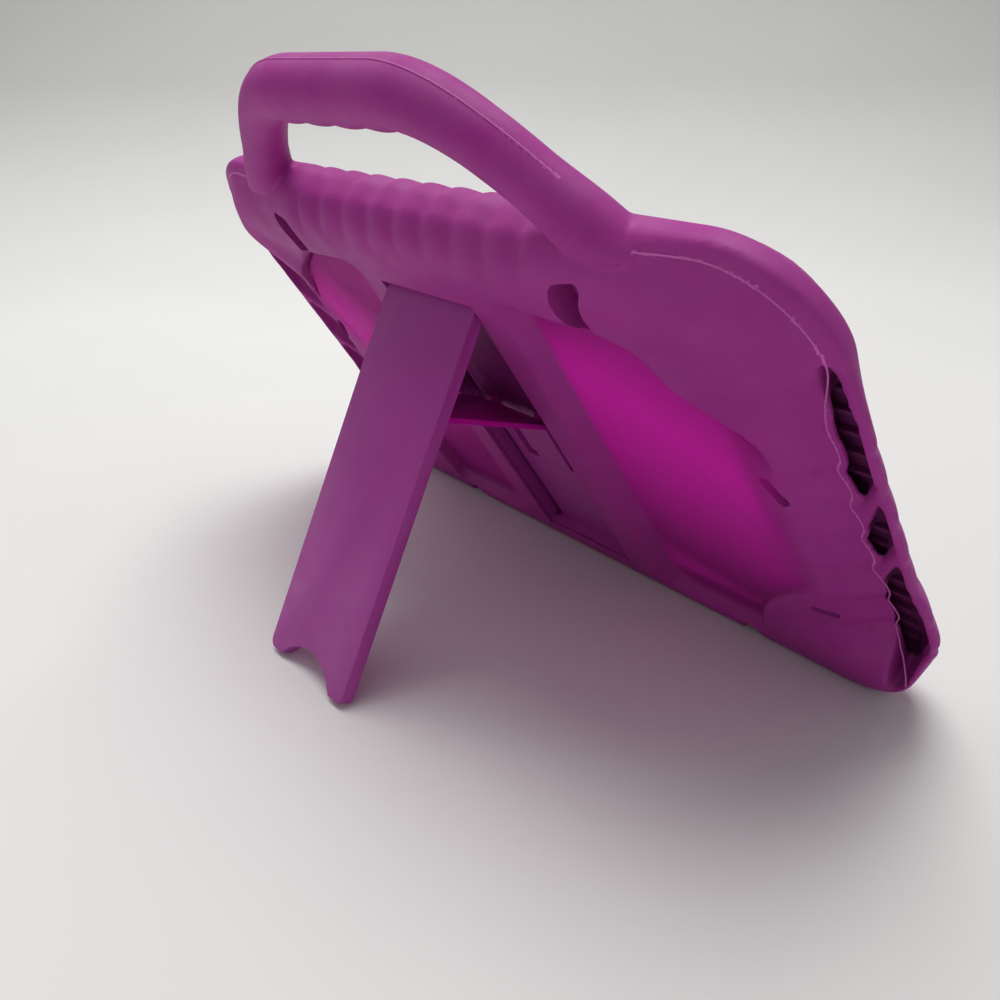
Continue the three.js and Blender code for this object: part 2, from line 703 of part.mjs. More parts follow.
function plateGeometry() {
  const half = plateWidth / 2;
  const footCorner = 3;
  const shape = [];
  shape.push(new THREE.Vector2(-half, 0));
  shape.push(new THREE.Vector2(half, 0));
  const addCorner = (cx, cz, radius, from, to) => {
    for (let i = 0; i <= 4; i += 1) {
      const angle = lerp(from, to, i / 4);
      shape.push(new THREE.Vector2(cx + radius * Math.cos(angle), cz + radius * Math.sin(angle)));
    }
  };
  addCorner(half - footCorner, -plateLength + footCorner, footCorner, 0, -Math.PI / 2);
  const archSteps = 10;
  for (let i = 0; i <= archSteps; i += 1) {
    const along = i / archSteps;
    const x = lerp(archWidth / 2, -archWidth / 2, along);
    const bow = Math.sin(Math.PI * along) ** 0.75;
    shape.push(new THREE.Vector2(x, -plateLength + archDepth * bow));
  }
  addCorner(-half + footCorner, -plateLength + footCorner, footCorner, -Math.PI / 2, -Math.PI);
  const slab = prismSolid(shape, -plateHalf, plateHalf);
  const barrel = rodSolid(plateHalf, -half, half, 0, 0, 24);
  const bore = rodSolid(pinDiameter / 2 + runningGap, -half - 1, half + 1, 0, 0);
  const pocketHalf = braceWidth / 2 + runningGap;
  const pocketFloor = -braceThickness / 2 - runningGap;
  const bracePocket = boxSolid(
    -pocketHalf, pocketHalf,
    pocketFloor, plateHalf + 1,
    -braceArm - braceReach - footDiameter, -braceArm + braceThickness / 2 + braceLead,
  );
  const trunnionReach = half - 0.5;
  const trunnionHole = rodSolid(trunnionDiameter / 2 + runningGap, -trunnionReach, trunnionReach, 0, -braceArm, 16);
  return geometryOf(slab.add(barrel).subtract(bore).subtract(bracePocket).subtract(trunnionHole));
}

function hingePinGeometry() {
  const reach = plateWidth / 2 + 4.9;
  const pin = new THREE.CylinderGeometry(pinDiameter / 2, pinDiameter / 2, reach * 2, 20);
  pin.rotateZ(Math.PI / 2);
  return pin;
}

// Brace, drawn folded flat, with its trunnions at its own origin. Two feet at the
// free end run in the tray's slots.

function braceGeometry() {
  const half = braceWidth / 2;
  const thick = braceThickness / 2;
  const plate = boxSolid(-half, half, -thick, thick, -braceReach, 0);
  const round = rodSolid(thick, -half, half, 0, 0, 16);
  const trunnionReach = plateWidth / 2 - 0.8;
  const trunnions = rodSolid(trunnionDiameter / 2, -trunnionReach, trunnionReach, 0, 0, 16);
  const feet = [1, -1].map((side) => {
    const x0 = side * slotCentre - footWidth / 2;
    const x1 = side * slotCentre + footWidth / 2;
    const toe = footDiameter / 2;
    const leg = boxSolid(x0, x1, -thick, footOffset, -braceReach - toe * 0.8, -braceReach + toe * 0.8);
    return leg.add(rodSolid(toe, x0, x1, footOffset, -braceReach, 16));
  });
  return geometryOf(wasm.Manifold.union([plate, round, trunnions, ...feet]));
}

// How far the stand opens: the plate's foot meets the floor the case leans over

const shellGeometry = caseShellGeometry();

function lowestPoint(geometry) {
  const position = geometry.attributes.position;
  let lowest = Infinity;
  for (let i = 0; i < position.count; i += 1) {
    const height = position.getY(i) * Math.sin(caseLean) + position.getZ(i) * Math.cos(caseLean);
    lowest = Math.min(lowest, height);
  }
  return lowest;
}

const floorDrop = lowestPoint(shellGeometry);
const hingeAbove = hingeFromBack * Math.sin(caseLean) + hingeHeight * Math.cos(caseLean) - floorDrop;
const footReach = Math.hypot(plateLength, plateHalf);
const plateTilt = Math.atan(plateHalf / plateLength) + Math.acos(hingeAbove / footReach);
const openAngle = caseLean + plateTilt;

// The brace's feet rest at the upper end of the tray's slots when the stand is open
const armEnd = new THREE.Vector2(
  hingeFromBack - braceArm * Math.sin(openAngle),
  hingeHeight - braceArm * Math.cos(openAngle),
);
const footRadius = Math.hypot(footOffset, braceReach);
const footLead = Math.atan(footOffset / braceReach);
const braceAngle = Math.asin((foldedFoot.x - armEnd.x) / footRadius) - footLead;
const openFoot = new THREE.Vector2(
  foldedFoot.x,
  armEnd.y - footRadius * Math.cos(braceAngle + footLead),
);

// Materials

function plastic(color, roughness, metalness = 0) {
  return new THREE.MeshStandardMaterial({ color, roughness, metalness });
}

const softPurple = 0x8f1d8c;
const rigidPurple = 0x7a1480;
const trayPurple = 0x8a2488;
const steelGrey = 0xb8b8bc;

function piece(name, geometry, material) {
  const mesh = new THREE.Mesh(geometry, material);
  mesh.name = name;
  return mesh;
}

// Assembly

const leaned = new THREE.Group();
leaned.rotation.x = caseLean;
leaned.add(piece('case_shell', shellGeometry, plastic(softPurple, 0.62)));
leaned.add(piece('stand_tray', trayGeometry(), plastic(trayPurple, 0.45)));

const hinge = new THREE.Group();
hinge.position.set(0, hingeFromBack, hingeHeight);
hinge.add(piece('hinge_pin', hingePinGeometry(), plastic(steelGrey, 0.3, 1)));
leaned.add(hinge);

const plateGroup = new THREE.Group();
plateGroup.rotation.x = -openAngle;
plateGroup.add(piece('kickstand_plate', plateGeometry(), plastic(rigidPurple, 0.38)));
hinge.add(plateGroup);

const braceGroup = new THREE.Group();
braceGroup.position.set(0, 0, -braceArm);
braceGroup.rotation.x = openAngle + braceAngle;
braceGroup.add(piece('brace_link', braceGeometry(), plastic(rigidPurple, 0.25)));
plateGroup.add(braceGroup);

// The finished case stands on z = 0 with its box centred over the origin
const assembly = new THREE.Group();
assembly.add(leaned);
assembly.updateMatrixWorld(true);
const bounds = new THREE.Box3().setFromObject(assembly, true);
assembly.position.set(0, -(bounds.min.y + bounds.max.y) / 2, -bounds.min.z);
assembly.updateMatrixWorld(true);

export default assembly;
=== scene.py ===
"""Soft tablet case with a carrying handle, leaned back on its folding stand."""

import json
import math

import bmesh
import bpy
import numpy as np
from mathutils import Matrix, Vector
from mathutils.kdtree import KDTree


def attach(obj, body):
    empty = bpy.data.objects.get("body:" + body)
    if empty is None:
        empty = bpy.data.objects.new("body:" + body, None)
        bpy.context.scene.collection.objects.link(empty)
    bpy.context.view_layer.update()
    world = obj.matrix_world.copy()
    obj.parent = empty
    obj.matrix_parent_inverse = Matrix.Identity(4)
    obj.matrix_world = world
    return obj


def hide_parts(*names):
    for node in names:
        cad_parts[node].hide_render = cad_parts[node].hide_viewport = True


bl_info = {
    "name": "Soft tablet case",
    "version": (1, 0, 0),
    "blender": (4, 5, 0),
    "location": "View3D > Sidebar > Tablet Case",
    "description": "Builds a soft tablet case with a handle and a folding stand",
    "category": "Object",
}

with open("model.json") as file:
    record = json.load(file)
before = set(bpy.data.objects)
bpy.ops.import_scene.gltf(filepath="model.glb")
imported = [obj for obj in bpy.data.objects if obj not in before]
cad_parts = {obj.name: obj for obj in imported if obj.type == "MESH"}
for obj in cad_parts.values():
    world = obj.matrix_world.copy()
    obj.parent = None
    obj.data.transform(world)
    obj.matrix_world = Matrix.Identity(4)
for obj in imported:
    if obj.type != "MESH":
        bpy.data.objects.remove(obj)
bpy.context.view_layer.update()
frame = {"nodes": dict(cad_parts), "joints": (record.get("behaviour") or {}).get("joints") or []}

# The case is drawn upright in millimetres, back at y = 0, front towards +Y, bottom edge
# at z = 0, and is then leaned back round its hinge, whose place the frame gives.
LEAN = math.radians(34.3)
HINGE_LOCAL = np.array([0.0, 3.2, 147.5])
HINGE = Vector(next(j for j in frame["joints"] if j["name"] == "kickstand_hinge")["pos_m"])

# The photograph's camera, with its focal length in pixels of a square picture.
VIEW_HEADING = 0.6879500633
VIEW_PITCH = 0.4386648533
VIEW_ROLL = -0.0046201224
VIEW_PLACE = (0.24628, -0.19399, 0.190)
FOCAL_PIXELS = 947.26
PICTURE_WIDTH = 1000
SENSOR_WIDTH = 36.0

# Sizes of the case in millimetres.
CASE_WIDTH = 285.0
CASE_HEIGHT = 181.2
CASE_DEPTH = 22.0
HALF_WIDTH = CASE_WIDTH / 2
OUTLINE_RADIUS = 31.5
TABLET_WIDTH = 247.0
TABLET_HEIGHT = 149.0
TABLET_THICKNESS = 9.0
PANEL_FACE = 8.8
BOTTOM_WALL = 12.5
TABLET_TOP = BOTTOM_WALL + TABLET_HEIGHT
LIP = 4.5
RIB_PITCH = 14.5
RIB_PAIRS = 4
RIB_SPAN = RIB_PITCH * RIB_PAIRS
RIB_STATIONS = 16
RIDGE_PITCH = 15.1
RIDGE_TOP = 122.8
RIDGE_COUNT = 6
RIDGE_STATIONS = 18
LOWER_CORNER = 22.5
LIP_INSET = 9.5
LIP_DEPTH = 13.5
BAR_INNER = 143.8
TRUSS_FLOOR = 18.4
GRIP_WALL = 2.4


def smooth(x, a, b):
    t = np.clip((np.asarray(x, float) - a) / (b - a), 0, 1)
    return t * t * (3 - 2 * t)


def to_world(points):
    """Case millimetres to metres in the row frame."""
    p = np.asarray(points, float).reshape(-1, 3) - HINGE_LOCAL
    y = p[:, 1] * math.cos(LEAN) - p[:, 2] * math.sin(LEAN)
    z = p[:, 1] * math.sin(LEAN) + p[:, 2] * math.cos(LEAN)
    return np.stack([p[:, 0], y, z], 1) / 1000 + np.array(HINGE)


def to_local(points):
    """Metres in the row frame to case millimetres."""
    p = (np.asarray(points, float).reshape(-1, 3) - np.array(HINGE)) * 1000
    y = p[:, 1] * math.cos(LEAN) + p[:, 2] * math.sin(LEAN)
    z = -p[:, 1] * math.sin(LEAN) + p[:, 2] * math.cos(LEAN)
    return np.stack([p[:, 0], y, z], 1) + HINGE_LOCAL


# Mesh helpers


def new_object(name, points, faces, edges=()):
    mesh = bpy.data.meshes.new(name)
    mesh.from_pydata([tuple(p) for p in points], list(edges), faces)
    mesh.update()
    made = bpy.data.objects.new(name, mesh)
    bpy.context.scene.collection.objects.link(made)
    return made


def coordinates(made):
    """The object's points as rows of x, y and z."""
    flat = np.zeros(len(made.data.vertices) * 3, np.float32)
    made.data.vertices.foreach_get("co", flat)
    return flat.reshape(-1, 3)


def move_points(made, points):
    made.data.vertices.foreach_set("co", points.astype(np.float32).ravel())
    made.data.update()


def mark(made, name, values, domain="POINT"):
    """Stores one number for each point or face, for the node trees to read."""
    layer = made.data.attributes.new(name, "FLOAT", domain)
    layer.data.foreach_set("value", np.asarray(values, np.float32))


def turn_outward(made):
    """Turns a closed mesh so that its faces point out."""
    form = bmesh.new()
    form.from_mesh(made.data)
    bmesh.ops.remove_doubles(form, verts=form.verts, dist=1e-4)
    bmesh.ops.recalc_face_normals(form, faces=form.faces)
    if form.calc_volume(signed=True) < 0:
        bmesh.ops.reverse_faces(form, faces=form.faces)
    form.to_mesh(made.data)
    form.free()
    return made


def loft(name, rings, hubs=False):
    """A closed skin through rings of equal count. With hubs each end closes as a fan."""
    rings = np.asarray(rings, float)
    levels, count = rings.shape[:2]
    points = rings.reshape(-1, 3)
    i = np.arange(count)
    j = (i + 1) % count
    faces = []
    for k in range(levels - 1):
        a, b = k * count, (k + 1) * count
        faces += np.stack([a + i, a + j, b + j, b + i], 1).tolist()
    last = (levels - 1) * count
    if hubs:
        centres = np.stack([rings[0].mean(0), rings[-1].mean(0)])
        points = np.vstack([points, centres])
        low, high = levels * count, levels * count + 1
        faces += [[low, int(b), int(a)] for a, b in zip(i, j)]
        faces += [[high, int(last + a), int(last + b)] for a, b in zip(i, j)]
    else:
        faces += [i[::-1].tolist(), (last + i).tolist()]
    return turn_outward(new_object(name, points, faces))


def block(name, low, high):
    """A box in case millimetres."""
    (x0, y0, z0), (x1, y1, z1) = low, high
    ring = [(x0, y0), (x1, y0), (x1, y1), (x0, y1)]
    return loft(name, [[(x, y, z) for x, y in ring] for z in (z0, z1)])


def even_line(points, step, window):
    """A line resampled at an even step and smoothed over a window of its points."""
    kernel = np.ones(window) / window
    ends = window // 2
    padded = np.pad(points, ((ends, ends), (0, 0)), "edge")
    soft = np.stack([np.convolve(padded[:, k], kernel, "valid") for k in range(3)], 1)
    length = np.concatenate([[0], np.cumsum(np.linalg.norm(np.diff(soft, axis=0), axis=1))])
    at = np.linspace(0, length[-1], max(8, int(length[-1] / step)))
    return np.stack([np.interp(at, length, soft[:, k]) for k in range(3)], 1)


def inside(corners, x, z):
    """Which points lie inside a closed outline."""
    found = np.zeros(len(x), bool)
    for (x0, z0), (x1, z1) in zip(corners, np.roll(corners, -1, axis=0)):
        if z0 == z1:
            continue
        crosses = (z0 > z) != (z1 > z)
        found ^= crosses & (x < x0 + (x1 - x0) * (z - z0) / (z1 - z0))
    return found


def bead(name, line, thickness, sides=8):
    """A thin round bead along a line of points."""
    line = np.asarray(line, float)
    along = np.gradient(line, axis=0)
    along /= np.linalg.norm(along, axis=1)[:, None]
    across = np.cross(along, (0.0, 1.0, 0.0))
    across /= np.linalg.norm(across, axis=1)[:, None]
    other = np.cross(along, across)
    angle = np.arange(sides) * 2 * math.pi / sides
    cosine, sine = np.cos(angle)[None, :, None], np.sin(angle)[None, :, None]
    around = across[:, None] * cosine + other[:, None] * sine
    return loft(name, line[:, None] + around * thickness / 2, hubs=True)


def prism(name, outline, y0, y1):
    """An outline of x, z points pushed through the depth."""
    return loft(name, [[(x, y, z) for x, z in outline] for y in (y0, y1)])


def settle(made):
    """Makes the object's modifiers real and leaves it with a plain mesh."""
    bpy.context.view_layer.update()
    finished = made.evaluated_get(bpy.context.evaluated_depsgraph_get())
    mesh = bpy.data.meshes.new_from_object(finished)
    made.modifiers.clear()
    old = made.data
    made.data = mesh
    if old.users == 0:
        bpy.data.meshes.remove(old)
    return made


def reach(made):
    """The upper corner of an object's box."""
    return coordinates(made).max(0)


def combine(target, others, operation):
    """Cuts the others out of the target, or joins them to it, and removes them."""
    for other in others:
        step = target.modifiers.new(operation, "BOOLEAN")
        step.operation = operation
        step.solver = "MANIFOLD"
        step.object = other
        before = reach(target), reach(other)
        settle(target)
        if len(target.data.vertices) == 0:
            raise RuntimeError(f"{target.name} was lost when {other.name} was cut or joined")
        if operation == "UNION" and np.any(np.maximum(*before) > reach(target) + 0.01):
            raise RuntimeError(f"{other.name} was not joined to {target.name}")
        bpy.data.objects.remove(other)
    return target


def soften(made, voxel, passes, factor=0.5):
    """Remeshes a solid evenly in millimetres and relaxes it, as moulded silicone looks."""
    step = made.modifiers.new("even mesh", "REMESH")
    step.mode = "VOXEL"
    step.voxel_size = voxel
    settle(made)
    relax = made.modifiers.new("relax", "SMOOTH")
    relax.factor = factor
    relax.iterations = passes
    return settle(made)


def thin_out(made, triangles):
    """Brings a dense mesh down to about a number of triangles."""
    made.data.calc_loop_triangles()
    share = triangles / max(1, len(made.data.loop_triangles))
    if share < 1:
        step = made.modifiers.new("fewer faces", "DECIMATE")
        step.ratio = share
        settle(made)
    return made


def rounded_edges(made, width, segments=3, angle=30):
    step = made.modifiers.new("edges", "BEVEL")
    step.width = width
    step.segments = segments
    step.limit_method = "ANGLE"
    step.angle_limit = math.radians(angle)
    step.harden_normals = False
    return settle(made)


def finish_piece(made, body, nodes, material, angle=40):
    """Places a piece drawn in case millimetres, shades it and ties it to the frame."""
    move_points(made, to_world(coordinates(made)))
    made.data.polygons.foreach_set("use_smooth", [True] * len(made.data.polygons))
    made.data.set_sharp_from_angle(angle=math.radians(angle))
    made.data.materials.clear()
    made.data.materials.append(material)
    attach(made, body)
    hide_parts(*nodes)
    return made


# The rim's section: inset from the outline and depth from the back, across the top, down
# the sides and along the bottom. lean is the angle of the surface, and ear is how far it
# falls away at the upper corners.
SECTION = np.array([
    # top       side               bottom     lean  rib   ridge lobe ear
    [33, 0.0, 64, 0.0, 22, 0.0, 90, 0.0, 0.0, 0.0, 4.4],
    [25, -0.6, 50, 0.8, 15, 0.0, 90, 0.0, 0.0, 0.0, 3.2],
    [17, -1.2, 38, 3.0, 10, 0.0, 88, 0.0, 0.0, 0.0, 3.4],
    [10, -0.4, 27, 6.0, 7, 0.1, 76, 0.55, 0.15, 0.0, 5.6],
    [4.6, 2.2, 18, 9.6, 4, 0.7, 44, 1.0, 1.0, 0.0, 7.0],
    [1.3, 6.0, LIP_INSET, LIP_DEPTH, 1.5, 2.6, 6, 1.0, 1.0, 0.0, 5.2],
    [0.3, 10.5, -1.5, 9.8, 0.2, 6.0, 0, 1.0, 0.0, 0.1, 1.6],
    [0.0, 14.0, -4.0, 11.8, 0.0, 14.0, 0, 1.0, 0.0, 0.25, 0.0],
    [1.4, 18.4, 1.6, 18.0, 1.4, 18.4, -35, 0.8, 0.0, 0.2, 0.0],
    [4.9, 21.4, 7.0, 21.4, 5.0, 21.4, -75, 0.4, 0.0, 0.1, 0.0],
])


def side_share(z):
    return smooth(z, 14, 32) * smooth(CASE_HEIGHT - z, 25.2, 51.2)


def side_flare(z):
    drawn_in = 1 - smooth(CASE_HEIGHT - z, 46.2, 121.2)
    return -1.2 * drawn_in + 2.6 * smooth(z, 22, 40) * (1 - smooth(z, 46, 68))


def rib_wave(x):
    wave = np.sqrt(np.sin(math.pi * x / RIB_PITCH) ** 2 + 0.03) - 1.01
    return np.where(np.abs(x) > RIB_SPAN, 0, wave)


def grips_reach(z):
    return (z <= RIDGE_TOP) & (z >= RIDGE_TOP - RIDGE_COUNT * RIDGE_PITCH)


def ridge_wave(z):
    """Shingled grips: each pad stands proud at its lower end and steps in below it."""
    step = (RIDGE_TOP - z) / RIDGE_PITCH
    part = step - np.floor(step + 1e-6)
    scallop = np.sqrt(np.sin(math.pi * part) ** 2 + 0.012) - 1.0
    shingle = part * (1 - smooth(part, 0.88, 1.0)) - 1
    first = 0.55 + 0.45 * smooth(step, 0.3, 1.0)
    wave = (0.75 * scallop + 0.25 * shingle) * first
    lead = -0.55 * (1 - smooth(z, RIDGE_TOP, RIDGE_TOP + 14))
    return np.where(grips_reach(z), wave, np.where(z > RIDGE_TOP, lead, 0))


def lobe_wave(z):
    wave = np.abs(np.sin(math.pi * (RIDGE_TOP - z) / RIDGE_PITCH)) ** 0.8 - 1
    return np.where(grips_reach(z), wave, 0)


def between(start, end, count):
    return np.linspace(start, end, count + 2)[1:-1]


def outline(half, top, bottom, top_radius, bottom_radius):
    """One rounded ring round the case, its stations alike on every ring."""
    top_end = half - top_radius
    rib_scale = min(1.0, top_end * 0.86 / RIB_SPAN)
    ribs = np.linspace(-RIB_SPAN, RIB_SPAN, 2 * RIB_PAIRS * RIB_STATIONS + 1) * rib_scale
    side_top = top - top_radius
    side_bottom = bottom + bottom_radius
    ridge_low = RIDGE_TOP - RIDGE_COUNT * RIDGE_PITCH
    high = min(RIDGE_TOP, side_top - 4)
    low = max(ridge_low, side_bottom + 3)
    right = [(x, top) for x in between(ribs[-1], top_end, 10)]
    for angle in np.linspace(math.pi / 2, 0, 22):
        right.append((top_end + top_radius * math.cos(angle), side_top + top_radius * math.sin(angle)))
    right += [(half, z) for z in between(side_top, high, 6)]
    right += [(half, z) for z in np.linspace(high, low, RIDGE_COUNT * RIDGE_STATIONS + 1)]
    right += [(half, z) for z in between(low, side_bottom, 3)]
    for angle in np.linspace(0, -math.pi / 2, 22):
        right.append((half - bottom_radius + bottom_radius * math.cos(angle),
                      side_bottom + bottom_radius * math.sin(angle)))
    left = [(-x, z) for x, z in reversed(right)]
    base = [(x, bottom) for x in between(half - bottom_radius, bottom_radius - half, 40)]
    return np.array([(x, top) for x in ribs] + right + base + left)


def rim_ring(level, rib_depth, ridge_depth):
    top_in, top_y, side_in, side_y, low_in, low_y, lean, rib, ridge, lobe, ear = level
    plain = outline(HALF_WIDTH - top_in * 0.9, CASE_HEIGHT - top_in, low_in,
                    max(OUTLINE_RADIUS - top_in * 0.55, 12), max(LOWER_CORNER - low_in * 0.4, 11))
    x, z = plain[:, 0], plain[:, 1]
    side = np.sign(x)
    lean = math.radians(lean)
    share = side_share(z) * smooth(np.abs(x), 40, 75)
    away = side * (top_in * 0.9 - side_in) * share
    end_depth = np.where(z > CASE_HEIGHT / 2, top_y, low_y)
    from_side = HALF_WIDTH - np.abs(x)
    corner = (1 - smooth(from_side, 20.5, 95)) * (1 - smooth(CASE_HEIGHT - z, 35.2, 63.2))
    y = end_depth * (1 - share) + side_y * share + corner * ear * (1 - share)
    flare = side * share * side_flare(z) * smooth(np.abs(x), 118, 134)
    at_top = smooth(z, CASE_HEIGHT - 52, CASE_HEIGHT - 34)
    at_top = at_top * (1 - smooth(np.abs(x), RIB_SPAN, RIB_SPAN + 8))
    push = rib * rib_depth * rib_wave(x) * at_top
    slanted = z + 0.25 * max(side_in - LIP_INSET, 0)
    push = push + (ridge * ridge_wave(slanted) + lobe * lobe_wave(z)) * ridge_depth * share
    x_out = x + away + flare + side * share * math.cos(lean) * push
    y_out = y - math.sin(lean) * push
    z_out = z + at_top * math.cos(lean) * push
    # Under the pocket the grips stop short, so that a wall is left.
    pocket = np.interp(np.abs(x_out), [106.5, 118.5, 123.5, 124.0], [8.8, 10.4, 12.8, 99.0])
    y_out = np.minimum(y_out, np.maximum(pocket - GRIP_WALL, y))
    return np.stack([x_out, y_out, z_out], 1)


def fine_levels(table, steps):
    """Smooth steps between the rows of a table, with no overshoot (Catmull-Rom, limited)."""
    rows = []
    count = len(table)
    for k in range(count - 1):
        p1, p2 = table[k], table[k + 1]
        p0 = table[k - 1] if k else 2 * p1 - p2
        p3 = table[k + 2] if k + 2 < count else 2 * p2 - p1
        m1, m2 = (p2 - p0) / 2, (p3 - p1) / 2
        limit = 1.5 * np.abs(p2 - p1) + 0.15
        m1, m2 = np.clip(m1, -limit, limit), np.clip(m2, -limit, limit)
        for t in np.arange(steps) / steps:
            rows.append((2 * t**3 - 3 * t**2 + 1) * p1 + (t**3 - 2 * t**2 + t) * m1
                        + (3 * t**2 - 2 * t**3) * p2 + (t**3 - t**2) * m2)
    rows.append(table[-1])
    return rows


def flat_ring(inset, top_inset, bottom_inset, radius, y):
    plain = outline(HALF_WIDTH - inset, CASE_HEIGHT - top_inset, bottom_inset, radius, radius)
    return np.stack([plain[:, 0], np.full(len(plain), y), plain[:, 1]], 1)


def rim(rib_depth, ridge_depth):
    rings = [flat_ring(HALF_WIDTH - 30, 58, 38, 8, 0)]
    rings += [rim_ring(level, rib_depth, ridge_depth) for level in fine_levels(SECTION, 6)]
    side = HALF_WIDTH - TABLET_WIDTH / 2
    top = CASE_HEIGHT - TABLET_TOP
    lip_back = PANEL_FACE + TABLET_THICKNESS
    rings.append(flat_ring(7.6, 6.6, 5.8, 19, CASE_DEPTH - 0.2))
    rings.append(flat_ring(10, 9, 7, 16, CASE_DEPTH))
    rings.append(flat_ring(side + LIP, top + LIP, BOTTOM_WALL + LIP, 7, CASE_DEPTH))
    rings.append(flat_ring(side + LIP, top + LIP, BOTTOM_WALL + LIP, 7, lip_back))
    rings.append(flat_ring(side, top, BOTTOM_WALL, 9, lip_back))
    rings.append(flat_ring(side, top, BOTTOM_WALL, 9, PANEL_FACE + 4))
    rings.append(flat_ring(side + 5, top + 1, BOTTOM_WALL + 1, 10, PANEL_FACE + 1.6))
    rings.append(flat_ring(side + 17, top + 3, BOTTOM_WALL + 3, 12, PANEL_FACE))
    return loft("rim", rings, hubs=True)


def round_corners(points, radius, steps=8):
    points = np.asarray(points, float)
    result = []
    for i, corner in enumerate(points):
        before, after = points[i - 1], points[(i + 1) % len(points)]
        back, forth = np.linalg.norm(corner - before), np.linalg.norm(corner - after)
        reach = min(radius, back / 2.2, forth / 2.2)
        start = corner + (before - corner) * reach / back
        end = corner + (after - corner) * reach / forth
        for t in np.linspace(0, 1, steps + 1):
            result.append((1 - t) ** 2 * start + 2 * t * (1 - t) * corner + t * t * end)
    return np.array(result)


def panel_outline(side, grow):
    block_x = 36 + 11 * (1 - grow)
    edge = 3.5 * grow
    top = CASE_HEIGHT - 27.2 + edge
    outer = HALF_WIDTH - 27.5 + edge
    corners = [
        (block_x, top), (outer - 34 - edge * 0.6, top - 3.5), (outer, top - 37 - edge * 0.5),
        (outer, 50), (HALF_WIDTH - 36.5, 45), (HALF_WIDTH - 48.5, 34),
        (HALF_WIDTH - 53.5, 21), (HALF_WIDTH - 54.5, 12 - edge), (block_x, 12 - edge),
    ]
    return round_corners([(side * x, z) for x, z in corners], 9)


def panel_hollow(side):
    levels = [(-4, 1.35), (0, 1), (0.6, 0.85), (1.2, 0.72), (2.1, 0.56), (3, 0.42),
              (3.9, 0.28), (4.8, 0.16), (5.5, 0.06), (6, 0)]
    rings = []
    for y, grow in levels:
        rings.append([(x, y, z) for x, z in panel_outline(side, grow)])
    return loft("panel hollow", rings)


# Each side cell: its upper and lower end at the lip, then at the bar.
TRUSS_CELLS = [(139.5, 92, 154.5, 112), (84, 65, 104, 85), (57, 11.5, 77, 17)]


def cell_outline(side, ends, grow, inset):
    lip_high, lip_low, bar_high, bar_low = ends
    near = np.linspace(lip_high + grow, lip_low - grow, 60)
    lip = HALF_WIDTH - LIP_INSET + 0.9 + 2.2 * ridge_wave(near)
    far = np.linspace(bar_low - grow, bar_high + grow, 60)
    bar = BAR_INNER + side_flare(far) - inset - 4.5 * (1 - side_share(far))
    return list(zip(side * lip, near)) + list(zip(side * bar, far))


def truss_hollow(side, ends):
    levels = [(-4, 1.8, -0.6), (9.2, 1.6, -0.2), (10.6, 1.4, 0), (12, 1.1, 0), (13.6, 0.8, 0.6),
              (16, 0.4, 2.0), (TRUSS_FLOOR, 0, 4.2)]
    rings = []
    for y, grow, inset in levels:
        rings.append([(x, y, z) for x, z in cell_outline(side, ends, grow, inset)])
    hollow = loft("side cell", rings)
    inner = sorted((side * 127.6, side * 135))
    low, high = ends[1] + 2, ends[0] - 2
    undercut = block("undercut", (inner[0], 15.0, low), (inner[1], TRUSS_FLOOR - 0.1, high))
    return combine(hollow, [undercut], "UNION")


def slot_outline(points, width, steps=14):
    """An even slot along a smooth line through three or two points."""
    points = np.asarray(points, float)
    t = np.linspace(0, 1, steps + 1)
    if len(points) == 3:
        bend = 2 * points[1] - (points[0] + points[2]) / 2
        line = np.outer((1 - t) ** 2, points[0]) + np.outer(2 * t * (1 - t), bend)
        line = line + np.outer(t**2, points[2])
    else:
        line = np.outer(1 - t, points[0]) + np.outer(t, points[1])
    along = np.gradient(line, axis=0)
    along /= np.linalg.norm(along, axis=1)[:, None]
    reach = width / 2 * np.sqrt(1 - np.abs(2 * t - 1) ** 6 * 0.75)
    across = np.stack([-along[:, 1], along[:, 0]], 1) * reach[:, None]
    return np.vstack([line + across, (line - across)[::-1]])


def mirrored(points, side):
    return [(side * x, z) for x, z in points]


# The handle: a tube swept along its centre line by a node tree
FOOT_Z = CASE_HEIGHT - 1.8


def handle_line(rise):
    """Centre line of the handle and how far along the leg each point is."""
    top = CASE_HEIGHT + rise
    slope = math.radians(46)
    bar_end = np.array([25.4, top])
    foot = np.array([83.1, FOOT_Z])
    run = np.array([math.cos(slope), -math.sin(slope)])
    pull = [bar_end, bar_end + (22.8, 0), foot - 26 * run, foot]
    line = [((x, top), 0.0) for x in np.arange(0, 25.2, 1.6)]
    for t in np.linspace(0, 1, 40):
        p = ((1 - t) ** 3 * pull[0] + 3 * t * (1 - t) ** 2 * pull[1]
             + 3 * t * t * (1 - t) * pull[2] + t**3 * pull[3])
        line.append((tuple(p), t))
    line += [(tuple(foot + run * step), 1.0) for step in (3, 6, 8, 10, 12, 13.5, 14.5)]
    return [((-x, z), t) for (x, z), t in reversed(line[1:])] + line


def handle_depth(t):
    return 11.3 - 0.7 * t


def handle_radius(t):
    return (18.6 - 5.4 * t if t < 0.5 else 15.9 - 2 * (t - 0.5)) / 2


def input_socket(tree, name, kind, default):
    item = tree.interface.new_socket(name=name, in_out="INPUT", socket_type=kind)
    if default is not None:
        item.default_value = default
    return item.identifier


def link_maths(tree, operation, first, second=None, third=None):
    node = tree.nodes.new("ShaderNodeMath")
    node.operation = operation
    for socket, value in zip(node.inputs, (first, second, third)):
        if value is None:
            continue
        if isinstance(value, (int, float)):
            socket.default_value = value
        else:
            tree.links.new(value, socket)
    return node.outputs[0]


